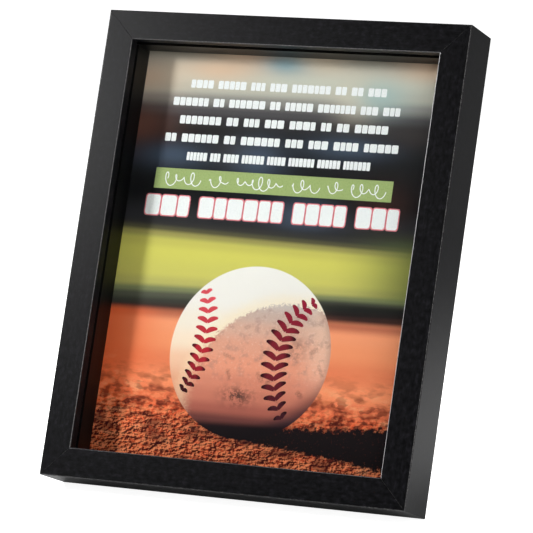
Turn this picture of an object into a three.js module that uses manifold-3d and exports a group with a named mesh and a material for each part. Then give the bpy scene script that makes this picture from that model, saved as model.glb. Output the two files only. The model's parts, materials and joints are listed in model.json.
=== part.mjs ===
// A shadow box: a deep black picture frame for an 8 x 10 inch print, standing on its own easel.
// Units are millimetres and +Z is up. The frame leans back and rests on the rear arris of its bottom
// rail and on the foot of the easel leg.
//
// Every piece but the easel leg and the hanger ring is drawn in the upright frame:
// x runs to the right seen from the front, y runs from the front face to the back, z runs up from the
// underside of the bottom rail. One group then leans the whole frame back.

import * as THREE from "three";
import { mergeVertices } from "three/addons/utils/BufferGeometryUtils.js";
import Module from "manifold-3d";

const wasm = await Module();
wasm.setup();

// Driving dimensions: the frame.
const FRAME_WIDTH = 231;
const FRAME_HEIGHT = 280;
const FRAME_DEPTH = 32;
const FACE_WIDTH = 17.4; // of each rail, seen from the front
const RABBET_INSET = 12.5; // thickness of each rail behind its lip
const LIP_DEPTH = 7.5; // front face to the back of the lip
const CHAMFER = 0.5;
const GAP = 0.3; // between pieces that lie against each other

// Driving dimensions: what the frame holds.
const INSERT_WIDTH = 203.4; // 8 inches
const INSERT_HEIGHT = 252.4; // 10 inches, cut a little under size
const GLASS_THICKNESS = 2;
const SPACER_DEPTH = 15;
const SPACER_THICKNESS = 3.4;
const PRINT_THICKNESS = 0.4;
const PANEL_THICKNESS = 2.8;

// Driving dimensions: the metalwork.
const SHEET = 0.8; // thickness of every steel plate
const RIVET_RADIUS = 1;
const RIVET_HEAD_RADIUS = 1.8;
const RIVET_HEAD_HEIGHT = 0.7;
const BORE_GAP = 0.2; // round a pin or a wire

const BUTTON_LENGTH = 15.5; // pivot to the centre of the tip
const BUTTON_ROOT_RADIUS = 4;
const BUTTON_TIP_RADIUS = 2.6;
const BUTTONS_FROM_CORNER = { top: 45.5, bottom: 45.5, left: 75, right: 75 };

const SCREW_RADIUS = 1.2;
const SCREW_HEAD_RADIUS = 2.6;
const SCREW_HEAD_HEIGHT = 1.5;
const SCREW_LENGTH = 13;
const CROSS_WIDTH = 0.8;
const CROSS_LENGTH = 3;
const CROSS_DEPTH = 0.9;

const NAIL_ARM = 6.5;
const NAIL_THICKNESS = 0.9;
const NAIL_HEIGHT = 8;
const NAIL_FROM_CORNER = 3.5;

const BUMPER_RADIUS = 4.5;
const BUMPER_THICKNESS = 2;
const BUMPER_FROM_CORNER = 7;

// Driving dimensions: the easel.
const LEAN = THREE.MathUtils.degToRad(19.7); // of the frame, from upright
const OPENING = THREE.MathUtils.degToRad(38); // of the leg, from the back panel
const PIN_HEIGHT = 205;
const PIN_RADIUS = 1.2;
const PIN_LENGTH = 35;
const KNUCKLE_RADIUS = 2.2;
const KNUCKLE_LENGTH = 16; // of the leg's own knuckle, between the panel's two
const FIXED_LEAF_WIDTH = 34;
const FIXED_LEAF_HEIGHT = 17;
const FIXED_RIVET_SPACING = 22;
const MOVING_LEAF_HEIGHT = 30;
const LEG_THICKNESS = 3;
const LEG_TOP_WIDTH = 34;
const LEG_FOOT_WIDTH = 62;
const TONGUE_WIDTH = 8;
const TONGUE_REACH = 7;

// Driving dimensions: the hanger.
const HANGER_HEIGHT = 254; // of the ring's pivot
const HANGER_WIDTH = 9;
const HANGER_STRAP_HEIGHT = 12;
const HANGER_BARREL_RADIUS = 2;
const HANGER_RIVET_DROP = 6.5; // below the pivot
const RING_WIRE_RADIUS = 0.8;
const RING_HALF_WIDTH = 6.5;
const RING_LENGTH = 16;

// Depths of the stack, from the front face backwards.
const GLASS_FRONT = LIP_DEPTH + GAP;
const SPACER_FRONT = GLASS_FRONT + GLASS_THICKNESS + GAP;
const PRINT_FRONT = SPACER_FRONT + SPACER_DEPTH + GAP;
const BOARD_FRONT = PRINT_FRONT + PRINT_THICKNESS + GAP;
const PANEL_FRONT = FRAME_DEPTH - PANEL_THICKNESS;
const PLATE_FRONT = FRAME_DEPTH + GAP; // of the steel plates on the back
const PLATE_BACK = PLATE_FRONT + SHEET;

// The stack rests on the bottom rail's rabbet.
const INSERT_BOTTOM = RABBET_INSET + GAP;
const INSERT_TOP = INSERT_BOTTOM + INSERT_HEIGHT;
const INSERT_MIDDLE = (INSERT_BOTTOM + INSERT_TOP) / 2;

const MATERIALS = {
  foil: { color: 0x141414, roughness: 0.5, metalness: 0 },
  spacer: { color: 0x101010, roughness: 0.4, metalness: 0 },
  glass: { color: 0xdfe8e6, roughness: 0.05, metalness: 0, transparent: true, opacity: 0.3 },
  print: { color: 0x8a5a32, roughness: 0.6, metalness: 0 },
  board: { color: 0xb9b2a4, roughness: 0.9, metalness: 0 },
  panel: { color: 0x1b1a19, roughness: 0.85, metalness: 0 },
  steel: { color: 0xb8b9bb, roughness: 0.35, metalness: 1 },
  brass: { color: 0xb08a45, roughness: 0.35, metalness: 1 },
  rubber: { color: 0x2a2a2a, roughness: 0.8, metalness: 0 },
};

// ---------------------------------------------------------------- helpers

function solidOf(geometry) {
  const bare = geometry.index ? geometry.toNonIndexed() : geometry.clone();
  bare.deleteAttribute("normal");
  bare.deleteAttribute("uv");
  const merged = mergeVertices(bare, 1e-4);
  const mesh = new wasm.Mesh({
    numProp: 3,
    vertProperties: merged.attributes.position.array,
    triVerts: new Uint32Array(merged.index.array),
  });
  return new wasm.Manifold(mesh);
}

function geometryOf(solid) {
  const mesh = solid.getMesh();
  const geometry = new THREE.BufferGeometry();
  geometry.setAttribute("position", new THREE.BufferAttribute(mesh.vertProperties, 3));
  geometry.setIndex(new THREE.BufferAttribute(mesh.triVerts, 1));
  geometry.computeVertexNormals();
  return geometry;
}

function join(...geometries) {
  return geometryOf(geometries.map(solidOf).reduce((whole, piece) => whole.add(piece)));
}

function cut(geometry, ...tools) {
  return geometryOf(tools.map(solidOf).reduce((whole, tool) => whole.subtract(tool), solidOf(geometry)));
}

function box(xs, ys, zs) {
  const size = [xs, ys, zs].map(([low, high]) => high - low);
  const middle = [xs, ys, zs].map(([low, high]) => (low + high) / 2);
  return new THREE.BoxGeometry(...size).translate(...middle);
}

// A round bar along y, as the screws and rivets are.
function barAlongY(radius, yFront, yBack, sides = 20) {
  const bar = new THREE.CylinderGeometry(radius, radius, yBack - yFront, sides);
  return bar.translate(0, (yFront + yBack) / 2, 0);
}

// A round bar along x, centred on x = 0, as the hinge's pin and knuckles are.
function barAlongX(radius, length, sides = 24) {
  return new THREE.CylinderGeometry(radius, radius, length, sides).rotateZ(Math.PI / 2);
}

// A flat piece from its outline drawn in x and z, standing between two depths.
function plate(outline, yFront, yBack, curveSegments = 10) {
  const options = { depth: yBack - yFront, bevelEnabled: false, curveSegments };
  return new THREE.ExtrudeGeometry(outline, options).rotateX(Math.PI / 2).translate(0, yBack, 0);
}

function outlineOf(points) {
  return new THREE.Shape(points.map(([x, z]) => new THREE.Vector2(x, z)));
}

function piece(parent, name, geometry, material, position = [0, 0, 0]) {
  const mesh = new THREE.Mesh(geometry, new THREE.MeshStandardMaterial(MATERIALS[material]));
  mesh.name = name;
  mesh.position.set(...position);
  parent.add(mesh);
  return mesh;
}

// ---------------------------------------------------------------- the four sides

// Each side has a group of its own: x along the rail from its middle, z inwards from its outer edge.
const SIDES = {
  bottom: { length: FRAME_WIDTH, turn: 0, at: [0, 0, 0] },
  left: { length: FRAME_HEIGHT, turn: Math.PI / 2, at: [-FRAME_WIDTH / 2, 0, FRAME_HEIGHT / 2] },
  top: { length: FRAME_WIDTH, turn: Math.PI, at: [0, 0, FRAME_HEIGHT] },
  right: { length: FRAME_HEIGHT, turn: -Math.PI / 2, at: [FRAME_WIDTH / 2, 0, FRAME_HEIGHT / 2] },
};

// A rail's section drawn as distance in from the outer edge and depth from the front face.
function railSection() {
  return outlineOf([
    [CHAMFER, 0],
    [FACE_WIDTH - CHAMFER, 0],
    [FACE_WIDTH, CHAMFER],
    [FACE_WIDTH, LIP_DEPTH],
    [RABBET_INSET, LIP_DEPTH],
    [RABBET_INSET, FRAME_DEPTH],
    [CHAMFER, FRAME_DEPTH],
    [0, FRAME_DEPTH - CHAMFER],
    [0, CHAMFER],
  ]);
}

// The section run along the rail, both ends slanted to a mitre: the further in, the shorter.
function mitredBar(length) {
  const bar = new THREE.ExtrudeGeometry(railSection(), { depth: 1, bevelEnabled: false });
  const points = bar.attributes.position;
  for (let i = 0; i < points.count; i += 1) {
    const inward = points.getX(i);
    const end = points.getZ(i) < 0.5 ? 1 : -1;
    points.setXYZ(i, end * (length / 2 - inward - GAP / 2), points.getY(i), inward);
  }
  return bar;
}

// Slots for the two V nails that cross a rail's mitres, open to the back.
function nailSlots(length) {
  const across = NAIL_THICKNESS / 2 + GAP;
  const near = length / 2 - NAIL_FROM_CORNER + across;
  const far = length / 2 - NAIL_FROM_CORNER - NAIL_ARM - GAP;
  const depth = [FRAME_DEPTH - GAP - NAIL_HEIGHT - GAP, FRAME_DEPTH + 1];
  const inward = [NAIL_FROM_CORNER - across, NAIL_FROM_CORNER + across];
  return [box([-near, -far], depth, inward), box([far, near], depth, inward)];
}

function pilotHole(x, z) {
  const deepest = PLATE_BACK + GAP - SCREW_LENGTH - GAP;
  return barAlongY(SCREW_RADIUS + GAP, deepest, FRAME_DEPTH + 1).translate(x, 0, z);
}

// Where a side's two turn buttons pivot, in the side's own group.
function buttonPivots(side) {
  const along = SIDES[side].length / 2 - BUTTONS_FROM_CORNER[side];
  return [-along, along].map((x) => [x, 0, RABBET_INSET / 2]);
}

function rail(side) {
  const { length } = SIDES[side];
  const holes = buttonPivots(side).map(([x, , z]) => pilotHole(x, z));
  return cut(mitredBar(length), ...nailSlots(length), ...holes);
}

// A flat steel tongue with a round root at the pivot and a smaller round tip.
function turnButton() {
  const slant = Math.acos((BUTTON_ROOT_RADIUS - BUTTON_TIP_RADIUS) / BUTTON_LENGTH);
  const outline = new THREE.Shape();
  outline.absarc(0, 0, BUTTON_ROOT_RADIUS, Math.PI / 2 + slant, Math.PI * 2.5 - slant);
  outline.absarc(0, BUTTON_LENGTH, BUTTON_TIP_RADIUS, Math.PI / 2 - slant, Math.PI / 2 + slant);
  const hole = new THREE.Path();
  hole.absarc(0, 0, SCREW_RADIUS + GAP, 0, Math.PI * 2);
  outline.holes.push(hole);
  return plate(outline, PLATE_FRONT, PLATE_BACK);
}

// A pan-head screw through the button into the rail, with a cross recess.
function screw() {
  const seat = PLATE_BACK + GAP;
  const top = seat + SCREW_HEAD_HEIGHT;
  const rim = SCREW_HEAD_RADIUS * 0.7;
  const profile = [
    [0, seat - SCREW_LENGTH],
    [SCREW_RADIUS * 0.4, seat - SCREW_LENGTH + 0.6],
    [SCREW_RADIUS, seat - SCREW_LENGTH + 2.5],
    [SCREW_RADIUS, seat],
    [SCREW_HEAD_RADIUS, seat],
    [SCREW_HEAD_RADIUS, seat + SCREW_HEAD_HEIGHT * 0.5],
    [rim, top],
    [0, top],
  ];
  const body = new THREE.LatheGeometry(profile.map(([r, y]) => new THREE.Vector2(r, y)), 20);
  const slotDepth = [top - CROSS_DEPTH, top + 1];
  const long = [-CROSS_LENGTH / 2, CROSS_LENGTH / 2];
  const short = [-CROSS_WIDTH / 2, CROSS_WIDTH / 2];
  return cut(body, box(long, slotDepth, short), box(short, slotDepth, long));
}

// A steel V driven across a mitre from behind, one arm in each rail.
function vNail() {
  const low = NAIL_FROM_CORNER - NAIL_THICKNESS / 2;
  const high = NAIL_FROM_CORNER + NAIL_THICKNESS / 2;
  const tip = NAIL_FROM_CORNER + NAIL_ARM;
  const outline = outlineOf([
    [low, low],
    [tip, low],
    [tip, high],
    [high, high],
    [high, tip],
    [low, tip],
  ]);
  return plate(outline, FRAME_DEPTH - GAP - NAIL_HEIGHT, FRAME_DEPTH - GAP);
}

function addSides(frame) {
  let number = 0;
  for (const [side, { turn, at }] of Object.entries(SIDES)) {
    const group = new THREE.Group();
    group.rotation.y = turn;
    group.position.set(...at);
    frame.add(group);
    piece(group, `${side}_rail`, rail(side), "foil");
    for (const pivot of buttonPivots(side)) {
      number += 1;
      piece(group, `turn_button_${number}`, turnButton(), "steel", pivot);
      piece(group, `turn_screw_${number}`, screw(), "steel", pivot);
    }
  }
}

function addNails(frame) {
  const corners = {
    bottom_left: { turn: 0, at: [-FRAME_WIDTH / 2, 0, 0] },
    top_left: { turn: Math.PI / 2, at: [-FRAME_WIDTH / 2, 0, FRAME_HEIGHT] },
    top_right: { turn: Math.PI, at: [FRAME_WIDTH / 2, 0, FRAME_HEIGHT] },
    bottom_right: { turn: -Math.PI / 2, at: [FRAME_WIDTH / 2, 0, 0] },
  };
  for (const [corner, { turn, at }] of Object.entries(corners)) {
    piece(frame, `v_nail_${corner}`, vNail(), "steel", at).rotation.y = turn;
  }
}

// ---------------------------------------------------------------- what the frame holds

function addSheet(frame, name, material, yFront, yBack, holes = []) {
  const half = INSERT_WIDTH / 2;
  const sheet = box([-half, half], [yFront, yBack], [INSERT_BOTTOM, INSERT_TOP]);
  piece(frame, name, holes.length ? cut(sheet, ...holes) : sheet, material);
}

// Two long strips across the top and bottom, and two between them up the sides.
function addSpacers(frame) {
  const depth = [SPACER_FRONT, SPACER_FRONT + SPACER_DEPTH];
  const half = INSERT_WIDTH / 2;
  const inner = half - SPACER_THICKNESS;
  const low = INSERT_BOTTOM + SPACER_THICKNESS;
  const high = INSERT_TOP - SPACER_THICKNESS;
  const strips = {
    bottom: [[-half, half], [INSERT_BOTTOM, low]],
    top: [[-half, half], [high, INSERT_TOP]],
    left: [[-half, -inner], [low + GAP, high - GAP]],
    right: [[inner, half], [low + GAP, high - GAP]],
  };
  for (const [side, [xs, zs]] of Object.entries(strips)) {
    piece(frame, `spacer_${side}`, box(xs, depth, zs), "spacer");
  }
}

// Where the rivets go through the back panel, in x and z.
const PANEL_RIVETS = {
  hinge_rivet_left: [-FIXED_RIVET_SPACING / 2, PIN_HEIGHT + FIXED_LEAF_HEIGHT * 0.62],
  hinge_rivet_right: [FIXED_RIVET_SPACING / 2, PIN_HEIGHT + FIXED_LEAF_HEIGHT * 0.62],
  hanger_rivet: [0, HANGER_HEIGHT - HANGER_RIVET_DROP],
};

function rivetHole(x, z, yFront, yBack) {
  return barAlongY(RIVET_RADIUS + GAP, yFront, yBack, 16).translate(x, 0, z);
}

// A domed rivet whose head seats at a given depth and whose shank runs forward from it.
function rivet(seat, length) {
  const profile = [
    [0, seat - length],
    [RIVET_RADIUS, seat - length],
    [RIVET_RADIUS, seat],
    [RIVET_HEAD_RADIUS, seat],
    [RIVET_HEAD_RADIUS * 0.75, seat + RIVET_HEAD_HEIGHT * 0.7],
    [0, seat + RIVET_HEAD_HEIGHT],
  ];
  return new THREE.LatheGeometry(profile.map(([r, y]) => new THREE.Vector2(r, y)), 16);
}

function addStack(frame) {
  addSheet(frame, "glass_pane", "glass", GLASS_FRONT, GLASS_FRONT + GLASS_THICKNESS);
  addSpacers(frame);
  addSheet(frame, "art_print", "print", PRINT_FRONT, PRINT_FRONT + PRINT_THICKNESS);
  addSheet(frame, "mounting_board", "board", BOARD_FRONT, PANEL_FRONT - GAP);
  const holes = Object.values(PANEL_RIVETS).map(([x, z]) =>
    rivetHole(x, z, PANEL_FRONT - 1, FRAME_DEPTH + 1),
  );
  addSheet(frame, "back_panel", "panel", PANEL_FRONT, FRAME_DEPTH, holes);
  const seat = PLATE_BACK + GAP;
  for (const [name, [x, z]] of Object.entries(PANEL_RIVETS)) {
    piece(frame, name, rivet(seat, seat - PANEL_FRONT - GAP), "brass", [x, 0, z]);
  }
}

function addBumpers(frame) {
  const bumper = () => {
    const back = PLATE_FRONT + BUMPER_THICKNESS;
    const profile = [
      [0, PLATE_FRONT],
      [BUMPER_RADIUS, PLATE_FRONT],
      [BUMPER_RADIUS, back - 0.6],
      [BUMPER_RADIUS - 0.6, back],
      [0, back],
    ];
    return new THREE.LatheGeometry(profile.map(([r, y]) => new THREE.Vector2(r, y)), 28);
  };
  const x = FRAME_WIDTH / 2 - BUMPER_FROM_CORNER;
  piece(frame, "bumper_left", bumper(), "rubber", [-x, 0, BUMPER_FROM_CORNER]);
  piece(frame, "bumper_right", bumper(), "rubber", [x, 0, BUMPER_FROM_CORNER]);
}

// ---------------------------------------------------------------- the easel

const PIN_DEPTH = PLATE_FRONT + KNUCKLE_RADIUS;

// The leg's own group turns about the hinge pin. In it y and z are measured from the pin, and the
// leg hangs straight down as it does when it is folded against the back panel.
const LEG_FRONT = FRAME_DEPTH + 2 * GAP - PIN_DEPTH;
const LEG_BACK = LEG_FRONT + LEG_THICKNESS;
const LEG_TOP = -KNUCKLE_RADIUS - 2 * GAP;
const MOVING_LEAF_BACK = KNUCKLE_RADIUS;
const MOVING_LEAF_FRONT = MOVING_LEAF_BACK - SHEET;
const LEG_RIVETS = { leg_rivet_upper: -11, leg_rivet_lower: -23 };

// The leaning frame stands on the rear arris of its bottom rail.
const LIFT = (FRAME_DEPTH - CHAMFER) * Math.sin(LEAN);
const PIN_ABOVE_FLOOR = PIN_HEIGHT * Math.cos(LEAN) - PIN_DEPTH * Math.sin(LEAN) + LIFT;
const LEG_SLOPE = OPENING - LEAN; // of the open leg, from upright
const footHeight = (y) => (-PIN_ABOVE_FLOOR - y * Math.sin(LEG_SLOPE)) / Math.cos(LEG_SLOPE);
const LEG_FOOT = footHeight(LEG_BACK);

function fixedLeaf() {
  const half = FIXED_LEAF_WIDTH / 2;
  const notch = KNUCKLE_LENGTH / 2 + GAP;
  const leaf = box([-half, half], [PLATE_FRONT, PLATE_BACK], [PIN_HEIGHT, PIN_HEIGHT + FIXED_LEAF_HEIGHT]);
  const barrel = barAlongX(KNUCKLE_RADIUS, FIXED_LEAF_WIDTH).translate(0, PIN_DEPTH, PIN_HEIGHT);
  const bore = barAlongX(PIN_RADIUS + BORE_GAP, FIXED_LEAF_WIDTH + 2).translate(0, PIN_DEPTH, PIN_HEIGHT);
  const room = [PIN_HEIGHT - KNUCKLE_RADIUS - 1, PIN_HEIGHT + KNUCKLE_RADIUS + 2 * GAP];
  const middle = box([-notch, notch], [PLATE_FRONT - 1, PIN_DEPTH + KNUCKLE_RADIUS + 1], room);
  const [left, right] = [PANEL_RIVETS.hinge_rivet_left, PANEL_RIVETS.hinge_rivet_right];
  const holes = [left, right].map(([x, z]) => rivetHole(x, z, PLATE_FRONT - 1, PLATE_BACK + 1));
  return cut(join(leaf, barrel), bore, middle, ...holes);
}

// The leaf riveted to the leg. Its tongue meets the fixed leaf when the leg is fully open.
function movingLeaf() {
  const half = KNUCKLE_LENGTH / 2;
  const leaf = box([-half, half], [MOVING_LEAF_FRONT, MOVING_LEAF_BACK], [-MOVING_LEAF_HEIGHT, 0]);
  const barrel = barAlongX(KNUCKLE_RADIUS, KNUCKLE_LENGTH);
  const bore = barAlongX(PIN_RADIUS + BORE_GAP, KNUCKLE_LENGTH + 2);
  const front = PLATE_BACK + GAP - PIN_DEPTH;
  const across = [-TONGUE_WIDTH / 2, TONGUE_WIDTH / 2];
  const tongue = box(across, [front, front + SHEET], [PIN_RADIUS + BORE_GAP, TONGUE_REACH]).rotateX(-OPENING);
  const holes = Object.values(LEG_RIVETS).map((z) => rivetHole(0, z, MOVING_LEAF_FRONT - 1, MOVING_LEAF_BACK + 1));
  return cut(join(leaf, barrel, tongue), bore, ...holes);
}

// A board that widens towards its foot, bevelled there to stand flat when it is open.
function easelLeg() {
  const outline = outlineOf([
    [-LEG_TOP_WIDTH / 2, LEG_TOP],
    [-LEG_FOOT_WIDTH / 2, LEG_FOOT],
    [LEG_FOOT_WIDTH / 2, LEG_FOOT],
    [LEG_TOP_WIDTH / 2, LEG_TOP],
  ]);
  const board = plate(outline, LEG_FRONT, LEG_BACK);
  const floor = box([-LEG_FOOT_WIDTH, LEG_FOOT_WIDTH], [-20, 20], [-20, 0]);
  floor.rotateX(-LEG_SLOPE).translate(0, 0, footHeight(0));
  const holes = Object.values(LEG_RIVETS).map((z) => rivetHole(0, z, LEG_FRONT - 1, LEG_BACK + 1));
  return cut(board, floor, ...holes);
}

function addEasel(frame) {
  piece(frame, "hinge_fixed_leaf", fixedLeaf(), "steel");
  piece(frame, "hinge_pin", barAlongX(PIN_RADIUS, PIN_LENGTH), "steel", [0, PIN_DEPTH, PIN_HEIGHT]);
  const leg = new THREE.Group();
  leg.position.set(0, PIN_DEPTH, PIN_HEIGHT);
  leg.rotation.x = OPENING;
  frame.add(leg);
  piece(leg, "easel_leg", easelLeg(), "panel");
  piece(leg, "hinge_moving_leaf", movingLeaf(), "steel");
  const seat = MOVING_LEAF_BACK + GAP;
  for (const [name, z] of Object.entries(LEG_RIVETS)) {
    piece(leg, name, rivet(seat, seat - LEG_FRONT - GAP), "brass", [0, 0, z]);
  }
}

// ---------------------------------------------------------------- the hanger

const RING_DEPTH = PLATE_FRONT + HANGER_BARREL_RADIUS;

function hangerStrap() {
  const half = HANGER_WIDTH / 2;
  const foot = HANGER_HEIGHT - HANGER_STRAP_HEIGHT;
  const strap = box([-half, half], [PLATE_FRONT, PLATE_BACK], [foot, HANGER_HEIGHT]);
  const place = (bar) => bar.translate(0, RING_DEPTH, HANGER_HEIGHT);
  const barrel = place(barAlongX(HANGER_BARREL_RADIUS, HANGER_WIDTH, 20));
  const bore = place(barAlongX(RING_WIRE_RADIUS + BORE_GAP, HANGER_WIDTH + 2, 20));
  const [x, z] = PANEL_RIVETS.hanger_rivet;
  return cut(join(strap, barrel), bore, rivetHole(x, z, PLATE_FRONT - 1, PLATE_BACK + 1));
}

// A triangle of wire with round corners, hanging from its straight side.
function hangerRing() {
  const corners = [
    new THREE.Vector3(-RING_HALF_WIDTH, 0, 0),
    new THREE.Vector3(RING_HALF_WIDTH, 0, 0),
    new THREE.Vector3(0, 0, -RING_LENGTH),
  ];
  const pieces = corners.map(({ x, y, z }) => new THREE.SphereGeometry(RING_WIRE_RADIUS, 12, 8).translate(x, y, z));
  corners.forEach((from, i) => {
    const to = corners[(i + 1) % corners.length];
    const along = to.clone().sub(from);
    const wire = new THREE.CylinderGeometry(RING_WIRE_RADIUS, RING_WIRE_RADIUS, along.length(), 12);
    const turn = new THREE.Quaternion().setFromUnitVectors(new THREE.Vector3(0, 1, 0), along.clone().normalize());
    const middle = from.clone().add(to).multiplyScalar(0.5);
    pieces.push(wire.applyQuaternion(turn).translate(middle.x, middle.y, middle.z));
  });
  return join(...pieces);
}

function addHanger(frame) {
  piece(frame, "hanger_strap", hangerStrap(), "steel");
  const ring = piece(frame, "hanger_ring", hangerRing(), "steel", [0, RING_DEPTH, HANGER_HEIGHT]);
  ring.rotation.x = LEAN; // it hangs plumb while the frame leans back
}

// ---------------------------------------------------------------- the shadow box

// The origin is on the floor, midway between the frame's front arris and the back of the leg's foot.
const FRONT_MOST = CHAMFER * Math.sin(LEAN);
const PIN_BEHIND = PIN_DEPTH * Math.cos(LEAN) + PIN_HEIGHT * Math.sin(LEAN);
const REAR_MOST = PIN_BEHIND + LEG_BACK * Math.cos(LEG_SLOPE) - LEG_FOOT * Math.sin(LEG_SLOPE);

const frame = new THREE.Group();
frame.rotation.x = -LEAN;
frame.position.set(0, -(FRONT_MOST + REAR_MOST) / 2, LIFT);
addSides(frame);
addNails(frame);
addStack(frame);
addBumpers(frame);
addEasel(frame);
addHanger(frame);

const shadowBox = new THREE.Group();
shadowBox.add(frame);

export default shadowBox;
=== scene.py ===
# %% [markdown]
# # A shadow box, finished in Blender
#
# The object is a deep black picture frame that stands on its own easel. Its working parts were drawn
# and packed beforehand, and Blender only adds the looks: softened edges, foil, glass, ink and metal.
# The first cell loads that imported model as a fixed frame, so every piece below finds its place from it.

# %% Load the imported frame
import json
import math
import random

import bmesh
import bpy
from mathutils import Matrix, Vector


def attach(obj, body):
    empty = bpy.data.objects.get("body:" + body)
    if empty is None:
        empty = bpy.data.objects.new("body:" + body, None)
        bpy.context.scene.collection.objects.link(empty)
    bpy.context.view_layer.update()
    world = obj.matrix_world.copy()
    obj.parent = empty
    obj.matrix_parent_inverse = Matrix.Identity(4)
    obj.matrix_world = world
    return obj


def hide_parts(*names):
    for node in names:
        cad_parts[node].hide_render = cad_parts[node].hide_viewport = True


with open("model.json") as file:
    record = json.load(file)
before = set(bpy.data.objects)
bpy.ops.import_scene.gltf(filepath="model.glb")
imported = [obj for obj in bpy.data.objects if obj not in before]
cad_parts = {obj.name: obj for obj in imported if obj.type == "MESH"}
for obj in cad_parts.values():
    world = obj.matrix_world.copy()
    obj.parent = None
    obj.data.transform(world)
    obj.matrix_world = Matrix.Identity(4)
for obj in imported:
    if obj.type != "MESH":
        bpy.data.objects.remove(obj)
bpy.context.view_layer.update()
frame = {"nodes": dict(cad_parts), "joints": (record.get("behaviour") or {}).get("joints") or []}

MM = 0.001

# %% [markdown]
# ## The frame's own directions
#
# A framer works on the frame lying square on a bench, but here it leans back on its easel. The turn
# buttons pivot straight through the back, so their axis tells how far it leans. Turning everything
# upright by that angle gives plain directions to measure in: x to the right, y from the front face
# to the back, z up from the underside. LEANING brings a piece that was made upright into its place.

# %% Upright and leaning
def joint(name):
    return next(j for j in frame["joints"] if j["name"] == name)


def span(node, turn):
    corners = [turn @ v.co for v in frame["nodes"][node].data.vertices]
    return Vector(map(min, *corners)), Vector(map(max, *corners))


through = Vector(joint("turn_button_1_pivot")["axis"])
LEAN = math.atan2(-through.z, through.y)
stand_up = Matrix.Rotation(LEAN, 4, "X")
heel = span("bottom_rail", stand_up)[0]
UPRIGHT = Matrix.Translation((0, -heel.y, -heel.z)) @ stand_up
LEANING = UPRIGHT.inverted()
print("leans back", round(math.degrees(LEAN), 2), "degrees")

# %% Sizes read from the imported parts
LOOSE = 0.3 * MM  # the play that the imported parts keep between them
LEFT = span("left_rail", UPRIGHT)[0].x
RIGHT = span("right_rail", UPRIGHT)[1].x
TOP = span("top_rail", UPRIGHT)[1].z
FACE = span("bottom_rail", UPRIGHT)[1].z
DEPTH = span("bottom_rail", UPRIGHT)[1].y
GLASS_LOW = span("glass_pane", UPRIGHT)[0]
PRINT_LOW, PRINT_HIGH = span("art_print", UPRIGHT)
RABBET = GLASS_LOW.z - LOOSE
LIP = GLASS_LOW.y - LOOSE
PLATE = span("hanger_strap", UPRIGHT)[0].y
print("wide, deep, high, face, mm:", [round(size / MM, 1) for size in (RIGHT - LEFT, DEPTH, TOP, FACE)])

# %% [markdown]
# ## Numbers on their way through nodes
#
# Both materials and Geometry Nodes are graphs of small sums. Written node by node, even a simple sum
# fills a page. A Wire stands for a socket that carries a number, so that `a * 2 + b` places the two
# maths nodes and links them. The graph is the same as one drawn by hand, but it reads like arithmetic.

# %% Wires
class Wire:
    def __init__(self, socket):
        self.socket = socket
        self.tree = socket.id_data

    def __add__(self, other):
        return maths("ADD", self, other)

    def __radd__(self, other):
        return maths("ADD", other, self)

    def __sub__(self, other):
        return maths("SUBTRACT", self, other)

    def __rsub__(self, other):
        return maths("SUBTRACT", other, self)

    def __mul__(self, other):
        return maths("MULTIPLY", self, other)

    def __rmul__(self, other):
        return maths("MULTIPLY", other, self)

    def __truediv__(self, other):
        return maths("DIVIDE", self, other)


def feed(socket, value):
    if isinstance(value, Wire):
        socket.id_data.links.new(value.socket, socket)
    elif value is not None:
        socket.default_value = value


def maths(operation, *terms):
    tree = next(term for term in terms if isinstance(term, Wire)).tree
    node = tree.nodes.new("ShaderNodeMath")
    node.operation = operation
    for socket, term in zip(node.inputs, terms):
        feed(socket, term)
    return Wire(node.outputs[0])


# %% [markdown]
# ## Small helpers for materials
#
# Every finish below reads its pattern from a place on the piece itself: the object's coordinates,
# turned upright and counted in millimetres, or a place that the piece carries along as an attribute.
# That keeps a pattern fixed to the piece when it moves. Colours are written as the 0 to 255 numbers
# that a screen shows, and turned into the linear values that a shader needs.

# %% Colour and pattern
def paint(red, green, blue):
    share = [value / 255 for value in (red, green, blue)]
    return [s / 12.92 if s <= 0.04045 else ((s + 0.055) / 1.055) ** 2.4 for s in share] + [1]


def new_node(tree, kind, inputs=None, **settings):
    node = tree.nodes.new(kind)
    for name, value in settings.items():
        setattr(node, name, value)
    for name, value in (inputs or {}).items():
        feed(node.inputs[name], value)
    return node


def node(tree, kind, inputs=None, output=0, **settings):
    """A node by its inputs and settings; what comes back is the wire from one of its outputs."""
    return Wire(new_node(tree, kind, inputs, **settings).outputs[output])


def step_up(value, start, end, high=1.0):
    """0 before start, high after end, and a soft rise between; start may be past end for a fall."""
    falling = start > end
    inputs = {
        "Value": value,
        "From Min": min(start, end),
        "From Max": max(start, end),
        "To Min": high if falling else 0.0,
        "To Max": 0.0 if falling else high,
    }
    return node(value.tree, "ShaderNodeMapRange", inputs, "Result", interpolation_type="SMOOTHSTEP")


def blend(factor, under, over):
    """The colour over laid on the colour under, as strongly as factor says."""
    inputs = {0: factor, 6: under, 7: over}
    return node(factor.tree, "ShaderNodeMix", inputs, 2, data_type="RGBA", clamp_factor=True)


def tones(*rows):
    """Stops for a shade card, from rows of (value, red, green, blue)."""
    return [(at, paint(*colour)) for at, *colour in rows]


def shade_card(value, stops):
    """Colours along a value: stops are (value, colour) pairs."""
    first, last = stops[0][0], stops[-1][0]
    ramp = new_node(value.tree, "ShaderNodeValToRGB", {"Fac": (value - first) / (last - first)})
    card = ramp.color_ramp
    card.interpolation = "EASE"
    for _ in stops[2:]:
        card.elements.new(0.5)
    for element, (at, colour) in zip(card.elements, stops):
        element.position = (at - first) / (last - first)
        element.color = colour
    return Wire(ramp.outputs["Color"])


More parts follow.
